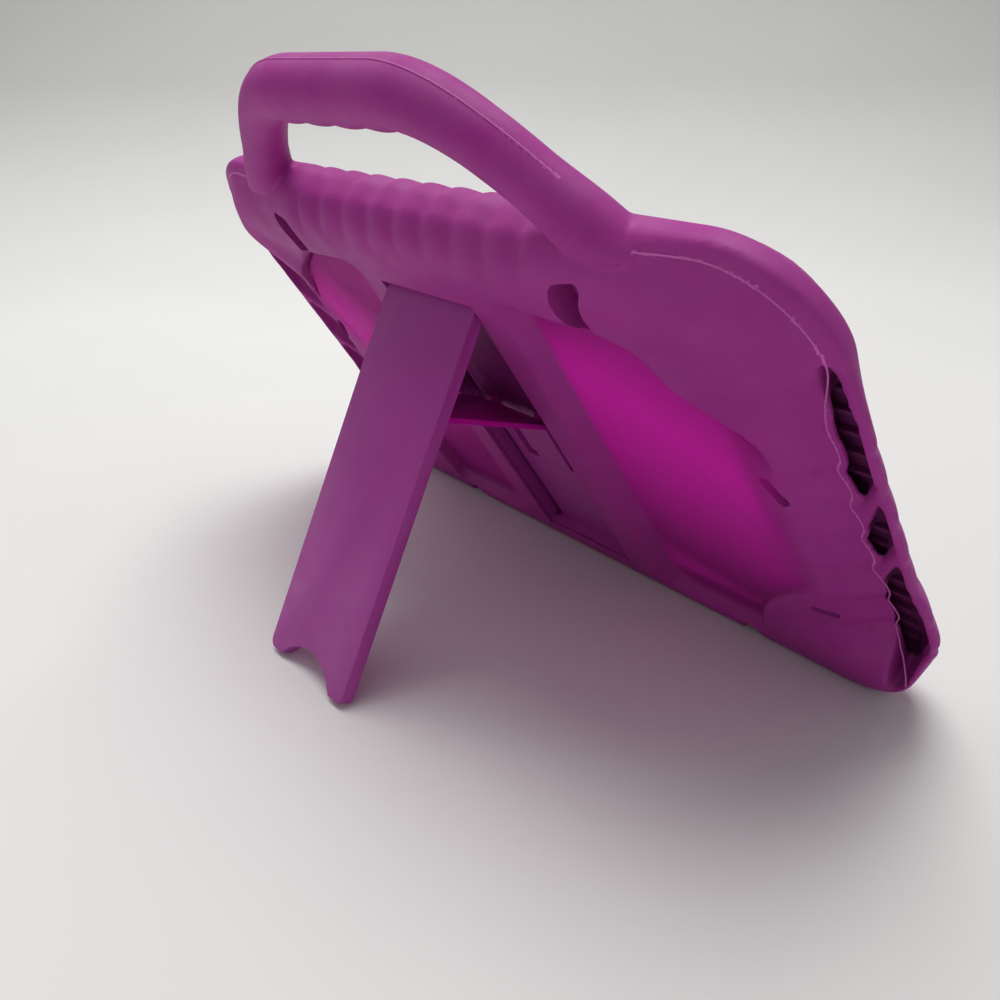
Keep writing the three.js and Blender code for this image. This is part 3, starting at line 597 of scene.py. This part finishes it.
def ranged(tree, value, low, high, to_low=0.0, to_high=1.0, kind="LINEAR"):
    node = tree.nodes.new("ShaderNodeMapRange")
    node.interpolation_type = kind
    node.inputs["From Min"].default_value = low
    node.inputs["From Max"].default_value = high
    node.inputs["To Min"].default_value = to_low
    node.inputs["To Max"].default_value = to_high
    tree.links.new(value, node.inputs["Value"])
    return node.outputs["Result"]


def handle_tree():
    """Sweeps a round section along the line, with its thickness from the line's own
    'thickness' attribute and finger lobes pressed into the underside of the bar."""
    tree = bpy.data.node_groups.new("handle sweep", "GeometryNodeTree")
    tree.interface.new_socket(name="Geometry", in_out="INPUT", socket_type="NodeSocketGeometry")
    tree.interface.new_socket(name="Geometry", in_out="OUTPUT", socket_type="NodeSocketGeometry")
    names = {
        "Grip pitch": input_socket(tree, "Grip pitch", "NodeSocketFloat", 16.1),
        "Grip depth": input_socket(tree, "Grip depth", "NodeSocketFloat", 1.8),
        "Bar height": input_socket(tree, "Bar height", "NodeSocketFloat", 215.7),
        "Section points": input_socket(tree, "Section points", "NodeSocketInt", 48),
        "Finish": input_socket(tree, "Finish", "NodeSocketMaterial", None),
    }
    add, link = tree.nodes.new, tree.links.new
    source, end = add("NodeGroupInput"), add("NodeGroupOutput")
    curve = add("GeometryNodeMeshToCurve")
    link(source.outputs["Geometry"], curve.inputs["Mesh"])
    thick = add("GeometryNodeInputNamedAttribute")
    thick.data_type = "FLOAT"
    thick.inputs["Name"].default_value = "thickness"
    radius = add("GeometryNodeSetCurveRadius")
    link(curve.outputs["Curve"], radius.inputs["Curve"])
    link(thick.outputs["Attribute"], radius.inputs["Radius"])
    section = add("GeometryNodeCurvePrimitiveCircle")
    section.inputs["Radius"].default_value = 1.0
    link(source.outputs["Section points"], section.inputs["Resolution"])
    sweep = add("GeometryNodeCurveToMesh")
    sweep.inputs["Fill Caps"].default_value = True
    link(radius.outputs["Curve"], sweep.inputs["Curve"])
    link(section.outputs["Curve"], sweep.inputs["Profile Curve"])
    if "Scale" in sweep.inputs:
        link(thick.outputs["Attribute"], sweep.inputs["Scale"])
    place, split = add("GeometryNodeInputPosition"), add("ShaderNodeSeparateXYZ")
    link(place.outputs["Position"], split.inputs["Vector"])
    x, z = split.outputs["X"], split.outputs["Z"]
    turn = link_maths(tree, "MULTIPLY", x, math.pi)
    turn = link_maths(tree, "DIVIDE", turn, source.outputs["Grip pitch"])
    wave = link_maths(tree, "ABSOLUTE", link_maths(tree, "SINE", turn))
    lobe = link_maths(tree, "SUBTRACT", link_maths(tree, "POWER", wave, 0.8), 0.5)
    drop = link_maths(tree, "SUBTRACT", source.outputs["Bar height"], z)
    below = ranged(tree, drop, 2.0, 9.3, kind="SMOOTHSTEP")
    out = link_maths(tree, "ABSOLUTE", x)
    on_bar = ranged(tree, out, 32.2, 35.2, 1.0, 0.0, "SMOOTHSTEP")
    push = link_maths(tree, "MULTIPLY", below, on_bar)
    push = link_maths(tree, "MULTIPLY", push, lobe)
    push = link_maths(tree, "MULTIPLY", push, source.outputs["Grip depth"])
    down = link_maths(tree, "MULTIPLY", push, -1.0)
    offset = add("ShaderNodeCombineXYZ")
    link(down, offset.inputs["Z"])
    moved = add("GeometryNodeSetPosition")
    link(sweep.outputs["Mesh"], moved.inputs["Geometry"])
    link(offset.outputs["Vector"], moved.inputs["Offset"])
    whole, painted = add("GeometryNodeRealizeInstances"), add("GeometryNodeSetMaterial")
    link(moved.outputs["Geometry"], whole.inputs["Geometry"])
    link(whole.outputs["Geometry"], painted.inputs["Geometry"])
    link(source.outputs["Finish"], painted.inputs["Material"])
    link(painted.outputs["Geometry"], end.inputs["Geometry"])
    return tree, names


def handle(sizes, material):
    line = handle_line(sizes.handle_rise * 1000)
    points = [(x, handle_depth(t), z) for (x, z), t in line]
    made = new_object("handle", points, [], [(i, i + 1) for i in range(len(points) - 1)])
    thickness = []
    for (x, z), t in line:
        thickness.append(handle_radius(t) * (1 + 0.15 * float(smooth(t, 0.72, 1))))
    mark(made, "thickness", thickness)
    tree, names = handle_tree()
    step = made.modifiers.new("sweep", "NODES")
    step[names["Grip pitch"]] = 16.1
    step[names["Grip depth"]] = sizes.grip_depth * 1000
    step[names["Bar height"]] = CASE_HEIGHT + sizes.handle_rise * 1000
    step[names["Section points"]] = 48
    step[names["Finish"]] = material
    step.node_group = tree
    settle(made)
    made.data.materials.clear()
    # The back of each foot sinks into the shoulder along a level line.
    for point in made.data.vertices:
        x, y, z = point.co
        if y < 12 and z < FOOT_Z - 0.5:
            point.co.y += 0.8 * (12 - y) * float(smooth(FOOT_Z - 0.5 - z, 0, 8))
    return turn_outward(made)


# Materials
# Colour of painted shade, laid into hollows, side cells and grooves where shade falls
PAINTED_SHADE_COLOUR = (0.045, 0.003, 0.03)


def shader(name, base, roughness, **settings):
    material = bpy.data.materials.new(name)
    material.use_nodes = True
    tree = material.node_tree
    body = tree.nodes["Principled BSDF"]
    body.inputs["Base Color"].default_value = (*base, 1)
    body.inputs["Roughness"].default_value = roughness
    for key, value in settings.items():
        body.inputs[key.replace("_", " ")].default_value = value
    return material, tree, body


def colour_mix(tree, share, first, second):
    node = tree.nodes.new("ShaderNodeMix")
    node.data_type = "RGBA"
    sockets = [node.inputs[key] for key in ("Factor", "A", "B")]
    for socket, value in zip(sockets, (share, first, second)):
        if hasattr(value, "is_linked"):
            tree.links.new(value, socket)
        elif isinstance(value, (int, float)):
            socket.default_value = value
        else:
            socket.default_value = (*value, 1)
    return node.outputs["Result"]


def noise_at(tree, scale, detail=4.0, roughness=0.55):
    coords = tree.nodes.new("ShaderNodeTexCoord")
    node = tree.nodes.new("ShaderNodeTexNoise")
    node.inputs["Scale"].default_value = scale
    node.inputs["Detail"].default_value = detail
    node.inputs["Roughness"].default_value = roughness
    tree.links.new(coords.outputs["Object"], node.inputs["Vector"])
    return node.outputs["Fac"]


def attribute(tree, name):
    node = tree.nodes.new("ShaderNodeAttribute")
    node.attribute_name = name
    return node.outputs["Fac"]


# Mixes painted shade into a colour where a mask is set
def painted_shade(tree, colour, where, share):
    return colour_mix(tree, link_maths(tree, "MULTIPLY", where, share), colour, PAINTED_SHADE_COLOUR)


def bump(tree, body, height, strength, distance):
    node = tree.nodes.new("ShaderNodeBump")
    node.inputs["Strength"].default_value = strength
    node.inputs["Distance"].default_value = distance
    tree.links.new(height, node.inputs["Height"])
    tree.links.new(node.outputs["Normal"], body.inputs["Normal"])


def glow(tree, body, colour, where, share):
    """Lets light from behind show through where the silicone is thin."""
    through = tree.nodes.new("ShaderNodeBsdfTranslucent")
    through.inputs["Color"].default_value = (*colour, 1)
    mix = tree.nodes.new("ShaderNodeMixShader")
    tree.links.new(link_maths(tree, "MULTIPLY", where, share), mix.inputs[0])
    tree.links.new(body.outputs["BSDF"], mix.inputs[1])
    tree.links.new(through.outputs["BSDF"], mix.inputs[2])
    tree.links.new(mix.outputs[0], tree.nodes["Material Output"].inputs["Surface"])


def silicone(colours):
    """Matt silicone: duller and dusty where it is thick, clearer and redder where thin, the redder colour
    being a painted glow; painted shade in deep hollows and a painted highlight on the parting lines.
    """
    material, tree, body = shader("soft silicone", colours.soft, 0.62, Specular_IOR_Level=0.28)
    body.inputs["Subsurface Weight"].default_value = 0.06
    body.inputs["Subsurface Radius"].default_value = (0.006, 0.0015, 0.005)
    body.inputs["Subsurface Scale"].default_value = 0.6
    patches = ranged(tree, noise_at(tree, 22, 3), 0.35, 0.7)
    tone = colour_mix(tree, patches, colours.soft, tuple(c * 0.86 for c in colours.soft))
    # Painted glow: the thin panels take the brighter colour, more so towards the top
    thin_painted_glow = colour_mix(tree, attribute(tree, "thin_painted_glow"), tone, colours.thin_painted_glow)
    specks = ranged(tree, noise_at(tree, 1400, 2, 0.7), 0.62, 0.8)
    film = ranged(tree, noise_at(tree, 60, 6, 0.6), 0.35, 0.75, 0.0, 0.55)
    dusty = link_maths(tree, "MULTIPLY", attribute(tree, "dust"), film)
    veiled = colour_mix(tree, dusty, thin_painted_glow, colours.dust)
    fleck = link_maths(tree, "MULTIPLY", specks, dusty)
    final = colour_mix(tree, fleck, veiled, tuple(min(1, c * 1.5) for c in colours.dust))
    # Painted highlight: the raised parting lines are lighter, as where they catch the light
    final = colour_mix(tree, attribute(tree, "line"), final, colours.flash)
    # Painted shade: the deep side cells are painted dark
    final = painted_shade(tree, final, attribute(tree, "deep"), 0.8)
    tree.links.new(final, body.inputs["Base Color"])
    # The translucent share follows the same mask, so it also grows towards the top as painted glow
    glow(tree, body, colours.glow, attribute(tree, "thin_painted_glow"), 0.62)
    grain = noise_at(tree, 2600, 2, 0.5)
    bump(tree, body, grain, 0.12, 0.0002)
    rough = ranged(tree, noise_at(tree, 90, 4), 0.3, 0.7, 0.54, 0.7)
    tree.links.new(rough, body.inputs["Roughness"])
    return material


def rigid_plastic(name, base, low_gloss, high_gloss, grain_strength):
    material, tree, body = shader(name, base, low_gloss, Specular_IOR_Level=0.45)
    patches = ranged(tree, noise_at(tree, 30, 4), 0.3, 0.75)
    tone = colour_mix(tree, patches, base, tuple(c * 0.88 for c in base))
    # Painted shade where the 'deep' mark is set, as on the tray's groove floors
    tree.links.new(painted_shade(tree, tone, attribute(tree, "deep"), 0.85), body.inputs["Base Color"])
    rough = ranged(tree, noise_at(tree, 140, 5), 0.3, 0.7, high_gloss, low_gloss)
    tree.links.new(rough, body.inputs["Roughness"])
    bump(tree, body, noise_at(tree, 1800, 2), grain_strength, 0.00015)
    return material


def bright_steel():
    material, tree, body = shader("bright steel", (0.62, 0.62, 0.64), 0.28, Metallic=1.0)
    tree.links.new(ranged(tree, noise_at(tree, 900, 3), 0.3, 0.7, 0.2, 0.38), body.inputs["Roughness"])
    bump(tree, body, noise_at(tree, 2400, 2), 0.05, 0.0001)
    return material


# Settings


class CaseSizes(bpy.types.PropertyGroup):
    voxel: bpy.props.FloatProperty(
        name="Surface grain", description="Spacing of the soft shell's surface points",
        default=0.0009, min=0.0007, max=0.004, unit="LENGTH")
    rib_depth: bpy.props.FloatProperty(
        name="Rib depth", description="Depth of the finger ribs over the top rim",
        default=0.0019, min=0.0, max=0.004, unit="LENGTH")
    ridge_depth: bpy.props.FloatProperty(
        name="Side grip depth", description="Depth of the grips down both sides",
        default=0.0034, min=0.0, max=0.005, unit="LENGTH")
    handle_rise: bpy.props.FloatProperty(
        name="Handle rise", description="Height of the handle's middle above the case",
        default=0.0345, min=0.02, max=0.08, unit="LENGTH")
    grip_depth: bpy.props.FloatProperty(
        name="Handle grip depth", description="Depth of the finger lobes under the handle",
        default=0.0018, min=0.0, max=0.004, unit="LENGTH")
    flash: bpy.props.FloatProperty(
        name="Parting line", description="Thickness of the raised line left by the mould",
        default=0.0005, min=0.0001, max=0.002, unit="LENGTH")
    shell_triangles: bpy.props.IntProperty(
        name="Shell faces", description="About how many triangles the soft shell keeps",
        default=185000, min=20000, max=195000)


class CaseColours(bpy.types.PropertyGroup):
    soft: bpy.props.FloatVectorProperty(
        name="Soft case", description="Colour of the thick silicone", subtype="COLOR",
        default=(0.40, 0.026, 0.29), min=0, max=1)
    # The thin panels' colour is brighter and redder than the thick silicone: a painted glow for light
    # coming through
    thin_painted_glow: bpy.props.FloatVectorProperty(
        name="Thin panel", description="Colour of the thin silicone panels", subtype="COLOR",
        default=(0.52, 0.018, 0.37), min=0, max=1)
    glow: bpy.props.FloatVectorProperty(
        name="Glow", description="Colour of the light that comes through the thin panels",
        subtype="COLOR", default=(0.95, 0.12, 0.75), min=0, max=1)
    dust: bpy.props.FloatVectorProperty(
        name="Dust", description="Colour of the film of dust on the silicone", subtype="COLOR",
        default=(0.42, 0.105, 0.33), min=0, max=1)
    # The parting line's colour is a painted highlight, lighter than the silicone around it
    flash: bpy.props.FloatVectorProperty(
        name="Parting line", description="Colour of the raised line left by the mould",
        subtype="COLOR", default=(0.60, 0.13, 0.46), min=0, max=1)
    stand: bpy.props.FloatVectorProperty(
        name="Stand", description="Colour of the rigid stand", subtype="COLOR",
        default=(0.42, 0.042, 0.34), min=0, max=1)
    brace: bpy.props.FloatVectorProperty(
        name="Brace", description="Colour of the glossy brace", subtype="COLOR",
        default=(0.55, 0.008, 0.36), min=0, max=1)


class StageSettings(bpy.types.PropertyGroup):
    floor: bpy.props.FloatVectorProperty(
        name="Floor", description="Colour of the floor", subtype="COLOR",
        default=(0.82, 0.82, 0.81), min=0, max=1)
    wall: bpy.props.FloatVectorProperty(
        name="Backdrop", description="Colour of the backdrop", subtype="COLOR",
        default=(0.62, 0.62, 0.61), min=0, max=1)
    key_power: bpy.props.FloatProperty(
        name="Key light", description="Power of the large light overhead",
        default=17.5, min=0, max=100, unit="POWER")
    left_power: bpy.props.FloatProperty(
        name="Left light", description="Power of the lower light on the left",
        default=1.6, min=0, max=100, unit="POWER")
    fill_power: bpy.props.FloatProperty(
        name="Fill light", description="Power of the soft light at the camera's side",
        default=0.6, min=0, max=100, unit="POWER")
    wall_power: bpy.props.FloatProperty(
        name="Backdrop light", description="Power of the light on the backdrop",
        default=1.2, min=0, max=100, unit="POWER")


# Operators


class SCENE_OT_case_stage(bpy.types.Operator):
    """Makes the floor, the backdrop, the lights and the camera"""

    bl_idname = "tablet_case.stage"
    bl_label = "Stage"

    def execute(self, context):
        stage = context.scene.tablet_case_stage
        self.camera(context)
        self.cove(stage)
        self.lights(stage)
        context.scene.view_settings.view_transform = "Standard"
        return {"FINISHED"}

    def camera(self, context):
        level = math.cos(VIEW_PITCH)
        ahead = Vector((-math.cos(VIEW_HEADING) * level, math.sin(VIEW_HEADING) * level,
                        -math.sin(VIEW_PITCH)))
        lens = bpy.data.cameras.new("photo camera")
        lens.sensor_width = SENSOR_WIDTH
        lens.sensor_fit = "HORIZONTAL"
        lens.lens = FOCAL_PIXELS / PICTURE_WIDTH * SENSOR_WIDTH
        lens.clip_start = 0.01
        made = bpy.data.objects.new("photo camera", lens)
        turn = ahead.to_track_quat("-Z", "Y").to_matrix().to_4x4()
        place = Matrix.Translation(Vector(VIEW_PLACE))
        made.matrix_world = place @ turn @ Matrix.Rotation(VIEW_ROLL, 4, "Z")
        context.scene.collection.objects.link(made)
        context.scene.camera = made

    def cove(self, stage):
        """A floor that curves up into a pale backdrop behind the object."""
        away = np.array([-math.cos(VIEW_HEADING), math.sin(VIEW_HEADING)])
        across = np.array([away[1], -away[0]])
        bend, radius = 0.55, 1.1
        profile = [(-3.0, 0.0), (bend, 0.0)]
        for angle in np.linspace(0, math.pi / 2, 24)[1:]:
            profile.append((bend + radius * math.sin(angle), radius * (1 - math.cos(angle))))
        profile.append((bend + radius, 4.0))
        points, faces = [], []
        for far, height in profile:
            for side in (-4.0, 4.0):
                x, y = away * far + across * side
                points.append((x, y, height))
        for k in range(len(profile) - 1):
            faces.append((2 * k, 2 * k + 1, 2 * k + 3, 2 * k + 2))
        made = new_object("cove", points, faces)
        for face in made.data.polygons:
            face.use_smooth = True
        material, tree, body = shader("pale cove", tuple(stage.floor), 0.8, Specular_IOR_Level=0.2)
        coords = tree.nodes.new("ShaderNodeTexCoord")
        split = tree.nodes.new("ShaderNodeSeparateXYZ")
        tree.links.new(coords.outputs["Object"], split.inputs["Vector"])
        rise = ranged(tree, split.outputs["Z"], 0.0, 0.16)
        cloudy = ranged(tree, noise_at(tree, 2.2, 3), 0.3, 0.7, 0.94, 1.0)
        tone = colour_mix(tree, rise, tuple(stage.floor), tuple(stage.wall))
        shade = tree.nodes.new("ShaderNodeVectorMath")
        shade.operation = "SCALE"
        tree.links.new(tone, shade.inputs[0])
        tree.links.new(cloudy, shade.inputs["Scale"])
        tree.links.new(shade.outputs["Vector"], body.inputs["Base Color"])
        made.data.materials.append(material)

    def lights(self, stage):
        case = Vector((0.0, 0.0, 0.09))
        wall = Vector((-1.3, 1.1, 0.4))
        rows = [
            ("overhead light", (-0.25, 0.22, 1.5), case, stage.key_power, 1.0, (1.0, 0.99, 0.98)),
            ("left light", (-0.85, -0.15, 0.95), case, stage.left_power, 0.6, (1.0, 0.99, 0.98)),
            ("fill light", (1.0, -0.9, 1.0), case, stage.fill_power, 1.2, (0.98, 0.99, 1.0)),
            ("backdrop light", (-0.35, 0.35, 1.6), wall, stage.wall_power, 1.0, (1.0, 1.0, 0.99)),
        ]
        for name, place, target, power, size, tint in rows:
            lamp = bpy.data.lights.new(name, "AREA")
            lamp.energy = power
            lamp.size = size
            lamp.color = tint
            made = bpy.data.objects.new(name, lamp)
            made.location = place
            made.rotation_euler = (target - Vector(place)).to_track_quat("-Z", "Y").to_euler()
            bpy.context.scene.collection.objects.link(made)
        world = bpy.data.worlds.new("studio")
        world.use_nodes = True
        world.node_tree.nodes["Background"].inputs["Color"].default_value = (1, 1, 1, 1)
        world.node_tree.nodes["Background"].inputs["Strength"].default_value = 0.3
        bpy.context.scene.world = world


class SCENE_OT_case_shell(bpy.types.Operator):
    """Builds the soft shell with its ribs, grips, side bars, panels and handle"""

    bl_idname = "tablet_case.soft_shell"
    bl_label = "Soft shell"

    def execute(self, context):
        sizes = context.scene.tablet_case_sizes
        depths = sizes.rib_depth * 1000, sizes.ridge_depth * 1000
        material = silicone(context.scene.tablet_case_colours)
        shell = rim(*depths)
        tablet = ((-TABLET_WIDTH / 2, PANEL_FACE, BOTTOM_WALL),
                  (TABLET_WIDTH / 2, PANEL_FACE + TABLET_THICKNESS, TABLET_TOP))
        grip = combine(handle(sizes, material), [block("pocket", *tablet)], "DIFFERENCE")
        combine(shell, [grip], "UNION")
        hollows = [panel_hollow(side) for side in (1, -1)]
        for side in (1, -1):
            hollows += [truss_hollow(side, ends) for ends in TRUSS_CELLS]
            hollows.append(self.port_notch(side))
        combine(shell, hollows, "DIFFERENCE")
        soften(shell, sizes.voxel * 1000, 2)
        thin_out(shell, sizes.shell_triangles)
        combine(shell, [block("skin behind the tray", (-34, 7, 4), (34, PANEL_FACE, 158))], "UNION")
        combine(shell, self.crisp_cuts(), "DIFFERENCE")
        lines = self.parting_lines(*depths, sizes.handle_rise * 1000)
        combine(shell, [bead("parting line", line, sizes.flash * 1000) for line in lines], "UNION")
        combine(shell, [self.teeth(side) for side in (1, -1)], "UNION")
        self.paint(shell, np.vstack(lines))
        shell.name = "soft_shell"
        finish_piece(shell, "case", ["case_shell"], material, angle=50)
        return {"FINISHED"}

    def parting_lines(self, rib_depth, ridge_depth, handle_rise):
        """The lines where the two halves of the mould met: over each ear, down the lip and
        along the handle."""
        ring, inner = (rim_ring(SECTION[row], rib_depth, ridge_depth) for row in (5, 4))
        ring = ring + (inner - ring) * 0.55 * smooth(ring[:, 2], 138, 160)[:, None]
        lines = []
        for side in (1, -1):
            keep = ring[(ring[:, 0] * side > 89) & (ring[:, 2] > 13)]
            order = np.argsort(-np.arctan2(keep[:, 2] - 90, keep[:, 0] * side - 60))
            lines.append(even_line(keep[order], 0.5, 5))
        points = []
        line = handle_line(handle_rise)
        flat = np.array([p for p, t in line])
        along = np.gradient(flat, axis=0)
        along /= np.linalg.norm(along, axis=1)[:, None]
        for (x, z), (dx, dz), (p, t) in zip(flat, along, line):
            if z > CASE_HEIGHT - 1:
                radius = handle_radius(t)
                points.append((x - dz * radius, handle_depth(t), z + dx * radius))
        lines.append(even_line(np.array(points), 0.5, 1))
        return lines

    def teeth(self, side):
        """Low ridges across the floors of the side cells."""
        pitch, thickness, back, front = 8.0, 1.6, 16.6, 19.4
        x0, x1 = sorted((side * 129, side * 137.5))
        ring = [(x0, back), (x1, back), (x1, front), (x0, front)]
        quads = [(0, 3, 2, 1), (4, 5, 6, 7), (0, 1, 5, 4), (1, 2, 6, 5), (2, 3, 7, 6), (3, 0, 4, 7)]
        points, faces = [], []
        for high, low in ((136, 96), (80, 70), (54, 22)):
            for z in np.arange(high, low - 0.1, -pitch):
                first = len(points)
                points += [(x, y, level) for level in (z, z + thickness) for x, y in ring]
                faces += [tuple(first + k for k in quad) for quad in quads]
        return new_object("teeth", points, faces)

    def port_notch(self, side):
        notch = mirrored([(74.5, -3), (84.5, -3), (82.5, 8), (77, 8)], side)
        return prism("port notch", notch, -6, 7)

    def crisp_cuts(self):
        """The cuts whose edges stay sharp: the tray's seat, the holes and the panel's edge."""
        cuts = [
            block("tray hole", (-31.3, 1.2, 6.95), (31.3, PANEL_FACE - 0.3, 155.5)),
            block("stand window", (-24.4, -4, 11.0), (24.4, 2.2, 151.3)),
        ]
        deep = PANEL_FACE - 0.5
        leaf = [(68.4, 168), (70.4, 169.8), (78.2, 170.9), (79.4, 168.8), (77.3, 163.6), (76.4, 159),
                (77.4, 154.4), (76.4, 152.6), (72.6, 153), (68.4, 155), (66.4, 158.8), (66.6, 163.6)]
        for side in (1, -1):
            hole = round_corners(mirrored(leaf, side), 1.2, 3)
            core = mirrored([(68.6, 164), (69.4, 169), (77.4, 170), (76.4, 164)], side)
            side_slot = slot_outline(mirrored([(110, 103.5), (115.2, 93)], side), 4.2)
            dimple = slot_outline(mirrored([(110.5, 39), (119, 36.3)], side), 3.2)
            edge = slot_outline(mirrored([(80.2, 148.4), (96, 137.6), (110.8, 117.8)], side), 1.5)
            cuts += [prism("shoulder hole", hole, -6, deep),
                     prism("deep hole", round_corners(core, 1.5, 3), -6, 14),
                     prism("side slot", side_slot, -6, deep),
                     prism("low dimple", dimple, -6, deep),
                     prism("panel edge", edge, -6, PANEL_FACE - 0.9)]
        return cuts

    def paint(self, shell, flash):
        """Marks thin silicone with its painted glow, dust, painted shade in the deep hollows, and the
        parting lines for their painted highlight.
        """
        points = coordinates(shell)
        facing = np.zeros(len(points) * 3, np.float32)
        shell.data.vertex_normals.foreach_get("vector", facing)
        facing = facing.reshape(-1, 3)
        x, y, z = np.abs(points[:, 0]), points[:, 1], points[:, 2]
        thin_painted_glow = smooth(y, 3.4, 5.8) * (y < PANEL_FACE + 0.4) * inside(panel_outline(1, 0.15), x, z)
        # Painted glow: the thin panels' share grows towards the top, where more light comes through from
        # behind
        thin_painted_glow = thin_painted_glow * (0.55 + 0.27 * smooth(z, 30, 90))
        thin_painted_glow = thin_painted_glow * (1 - smooth(x, 106, 115) * (1 - smooth(z, 100, 118)))
        # Painted shade: the deep inner walls and floors of the side cells are marked to be painted dark
        within = (x < 134.5) | (facing[:, 1] < -0.3) | (facing[:, 0] * points[:, 0] < 0)
        around = [(124, 141), (124, 9), (139, 12), (142, 26), (142.5, 153), (138, 152)]
        deep = smooth(y, 13.9, 15.2) * (y < 19.5) * within * inside(np.array(around), x, z)
        upward = facing[:, 2] * math.cos(LEAN) + facing[:, 1] * math.sin(LEAN)
        dust = (0.25 + 0.75 * smooth(upward, -0.3, 0.9)) * (1 - thin_painted_glow)
        tree = KDTree(len(flash))
        for i, place in enumerate(flash):
            tree.insert(place, i)
        tree.balance()
        centres = np.zeros(len(shell.data.polygons) * 3, np.float32)
        shell.data.polygons.foreach_get("center", centres)
        centres = centres.reshape(-1, 3)
        # Faces along the parting lines are marked for their painted highlight
        line = np.zeros(len(centres), np.float32)
        near = (np.abs(centres[:, 0]) > 90) | (centres[:, 2] > CASE_HEIGHT)
        for i in np.flatnonzero((centres[:, 1] > 3) & (centres[:, 1] < 16) & near):
            line[i] = tree.find(centres[i])[2] < 0.36
        mark(shell, "line", line, "FACE")
        for name, values in (("thin_painted_glow", thin_painted_glow), ("dust", dust), ("deep", deep)):
            mark(shell, name, values)


def node_copy(node, name):
    """A copy of one of the frame's pieces, in case millimetres."""
    source = frame["nodes"][node]
    made = bpy.data.objects.new(name, source.data.copy())
    bpy.context.scene.collection.objects.link(made)
    bpy.context.view_layer.update()
    made.data.transform(source.matrix_world)
    move_points(made, to_local(coordinates(made)))
    form = bmesh.new()
    form.from_mesh(made.data)
    bmesh.ops.remove_doubles(form, verts=form.verts, dist=0.002)
    bmesh.ops.dissolve_limit(form, angle_limit=math.radians(1), verts=form.verts, edges=form.edges)
    form.to_mesh(made.data)
    form.free()
    return made


class SCENE_OT_case_plate(bpy.types.Operator):
    """Builds the stand plate with eased edges"""

    bl_idname = "tablet_case.stand_plate"
    bl_label = "Stand plate"

    def execute(self, context):
        colours = context.scene.tablet_case_colours
        plate = node_copy("kickstand_plate", "stand_plate")
        rounded_edges(plate, 0.3, 2, 35)
        satin = rigid_plastic("satin stand plastic", tuple(colours.stand), 0.5, 0.36, 0.08)
        finish_piece(plate, "kickstand", ["kickstand_plate"], satin, angle=35)
        return {"FINISHED"}


class SCENE_OT_case_tray(bpy.types.Operator):
    """Builds the rigid tray with grooves along both sides of its recess"""

    bl_idname = "tablet_case.tray"
    bl_label = "Tray"

    def execute(self, context):
        colours = context.scene.tablet_case_colours
        tray = node_copy("stand_tray", "tray")
        for side in (1, -1):
            low, high = sorted((side * 20.4, side * 24.0))
            combine(tray, [block("groove", (low, 4, 12), (high, 8.1, 116))], "DIFFERENCE")
        points = coordinates(tray)
        x, y, z = np.abs(points[:, 0]), points[:, 1], points[:, 2]
        # Painted shade: the groove floors are marked to be painted dark
        mark(tray, "deep", (x > 20) & (x < 24.3) & (y > 7.9) & (z < 117))
        finish = rigid_plastic("tray plastic", tuple(colours.stand), 0.42, 0.28, 0.05)
        finish_piece(tray, "case", ["stand_tray"], finish, angle=35)
        return {"FINISHED"}


class SCENE_OT_case_brace(bpy.types.Operator):
    """Builds the folding brace and gives the pin its finish"""

    bl_idname = "tablet_case.brace"
    bl_label = "Brace and pin"

    def execute(self, context):
        colours = context.scene.tablet_case_colours
        brace = node_copy("brace_link", "brace")
        rounded_edges(brace, 0.2, 2, 35)
        gloss = rigid_plastic("glossy brace plastic", tuple(colours.brace), 0.26, 0.14, 0.02)
        gloss.node_tree.nodes["Principled BSDF"].inputs["Specular Tint"].default_value = (0.9, 0.1, 0.6, 1)
        finish_piece(brace, "brace", ["brace_link"], gloss, angle=35)
        pin = frame["nodes"]["hinge_pin"]
        pin.data.materials.clear()
        pin.data.materials.append(bright_steel())
        return {"FINISHED"}


class VIEW3D_PT_tablet_case(bpy.types.Panel):
    """Lists the case's settings and the steps that build it"""

    bl_label = "Tablet Case"
    bl_idname = "VIEW3D_PT_tablet_case"
    bl_space_type = "VIEW_3D"
    bl_region_type = "UI"
    bl_category = "Tablet Case"

    def draw(self, context):
        layout = self.layout
        for group in (context.scene.tablet_case_sizes, context.scene.tablet_case_colours,
                      context.scene.tablet_case_stage):
            box = layout.box()
            for name in group.__annotations__:
                box.prop(group, name)
        for step in STEPS:
            layout.operator(step.bl_idname)


STEPS = (SCENE_OT_case_stage, SCENE_OT_case_shell, SCENE_OT_case_plate, SCENE_OT_case_tray,
         SCENE_OT_case_brace)
CLASSES = (CaseSizes, CaseColours, StageSettings, *STEPS, VIEW3D_PT_tablet_case)


def register():
    for item in CLASSES:
        bpy.utils.register_class(item)
    bpy.types.Scene.tablet_case_sizes = bpy.props.PointerProperty(type=CaseSizes)
    bpy.types.Scene.tablet_case_colours = bpy.props.PointerProperty(type=CaseColours)
    bpy.types.Scene.tablet_case_stage = bpy.props.PointerProperty(type=StageSettings)


def unregister():
    del bpy.types.Scene.tablet_case_stage
    del bpy.types.Scene.tablet_case_colours
    del bpy.types.Scene.tablet_case_sizes
    for item in reversed(CLASSES):
        bpy.utils.unregister_class(item)


def main():
    register()
    bpy.ops.tablet_case.stage()
    bpy.ops.tablet_case.soft_shell()
    bpy.ops.tablet_case.stand_plate()
    bpy.ops.tablet_case.tray()
    bpy.ops.tablet_case.brace()


if __name__ == "__main__":
    main()
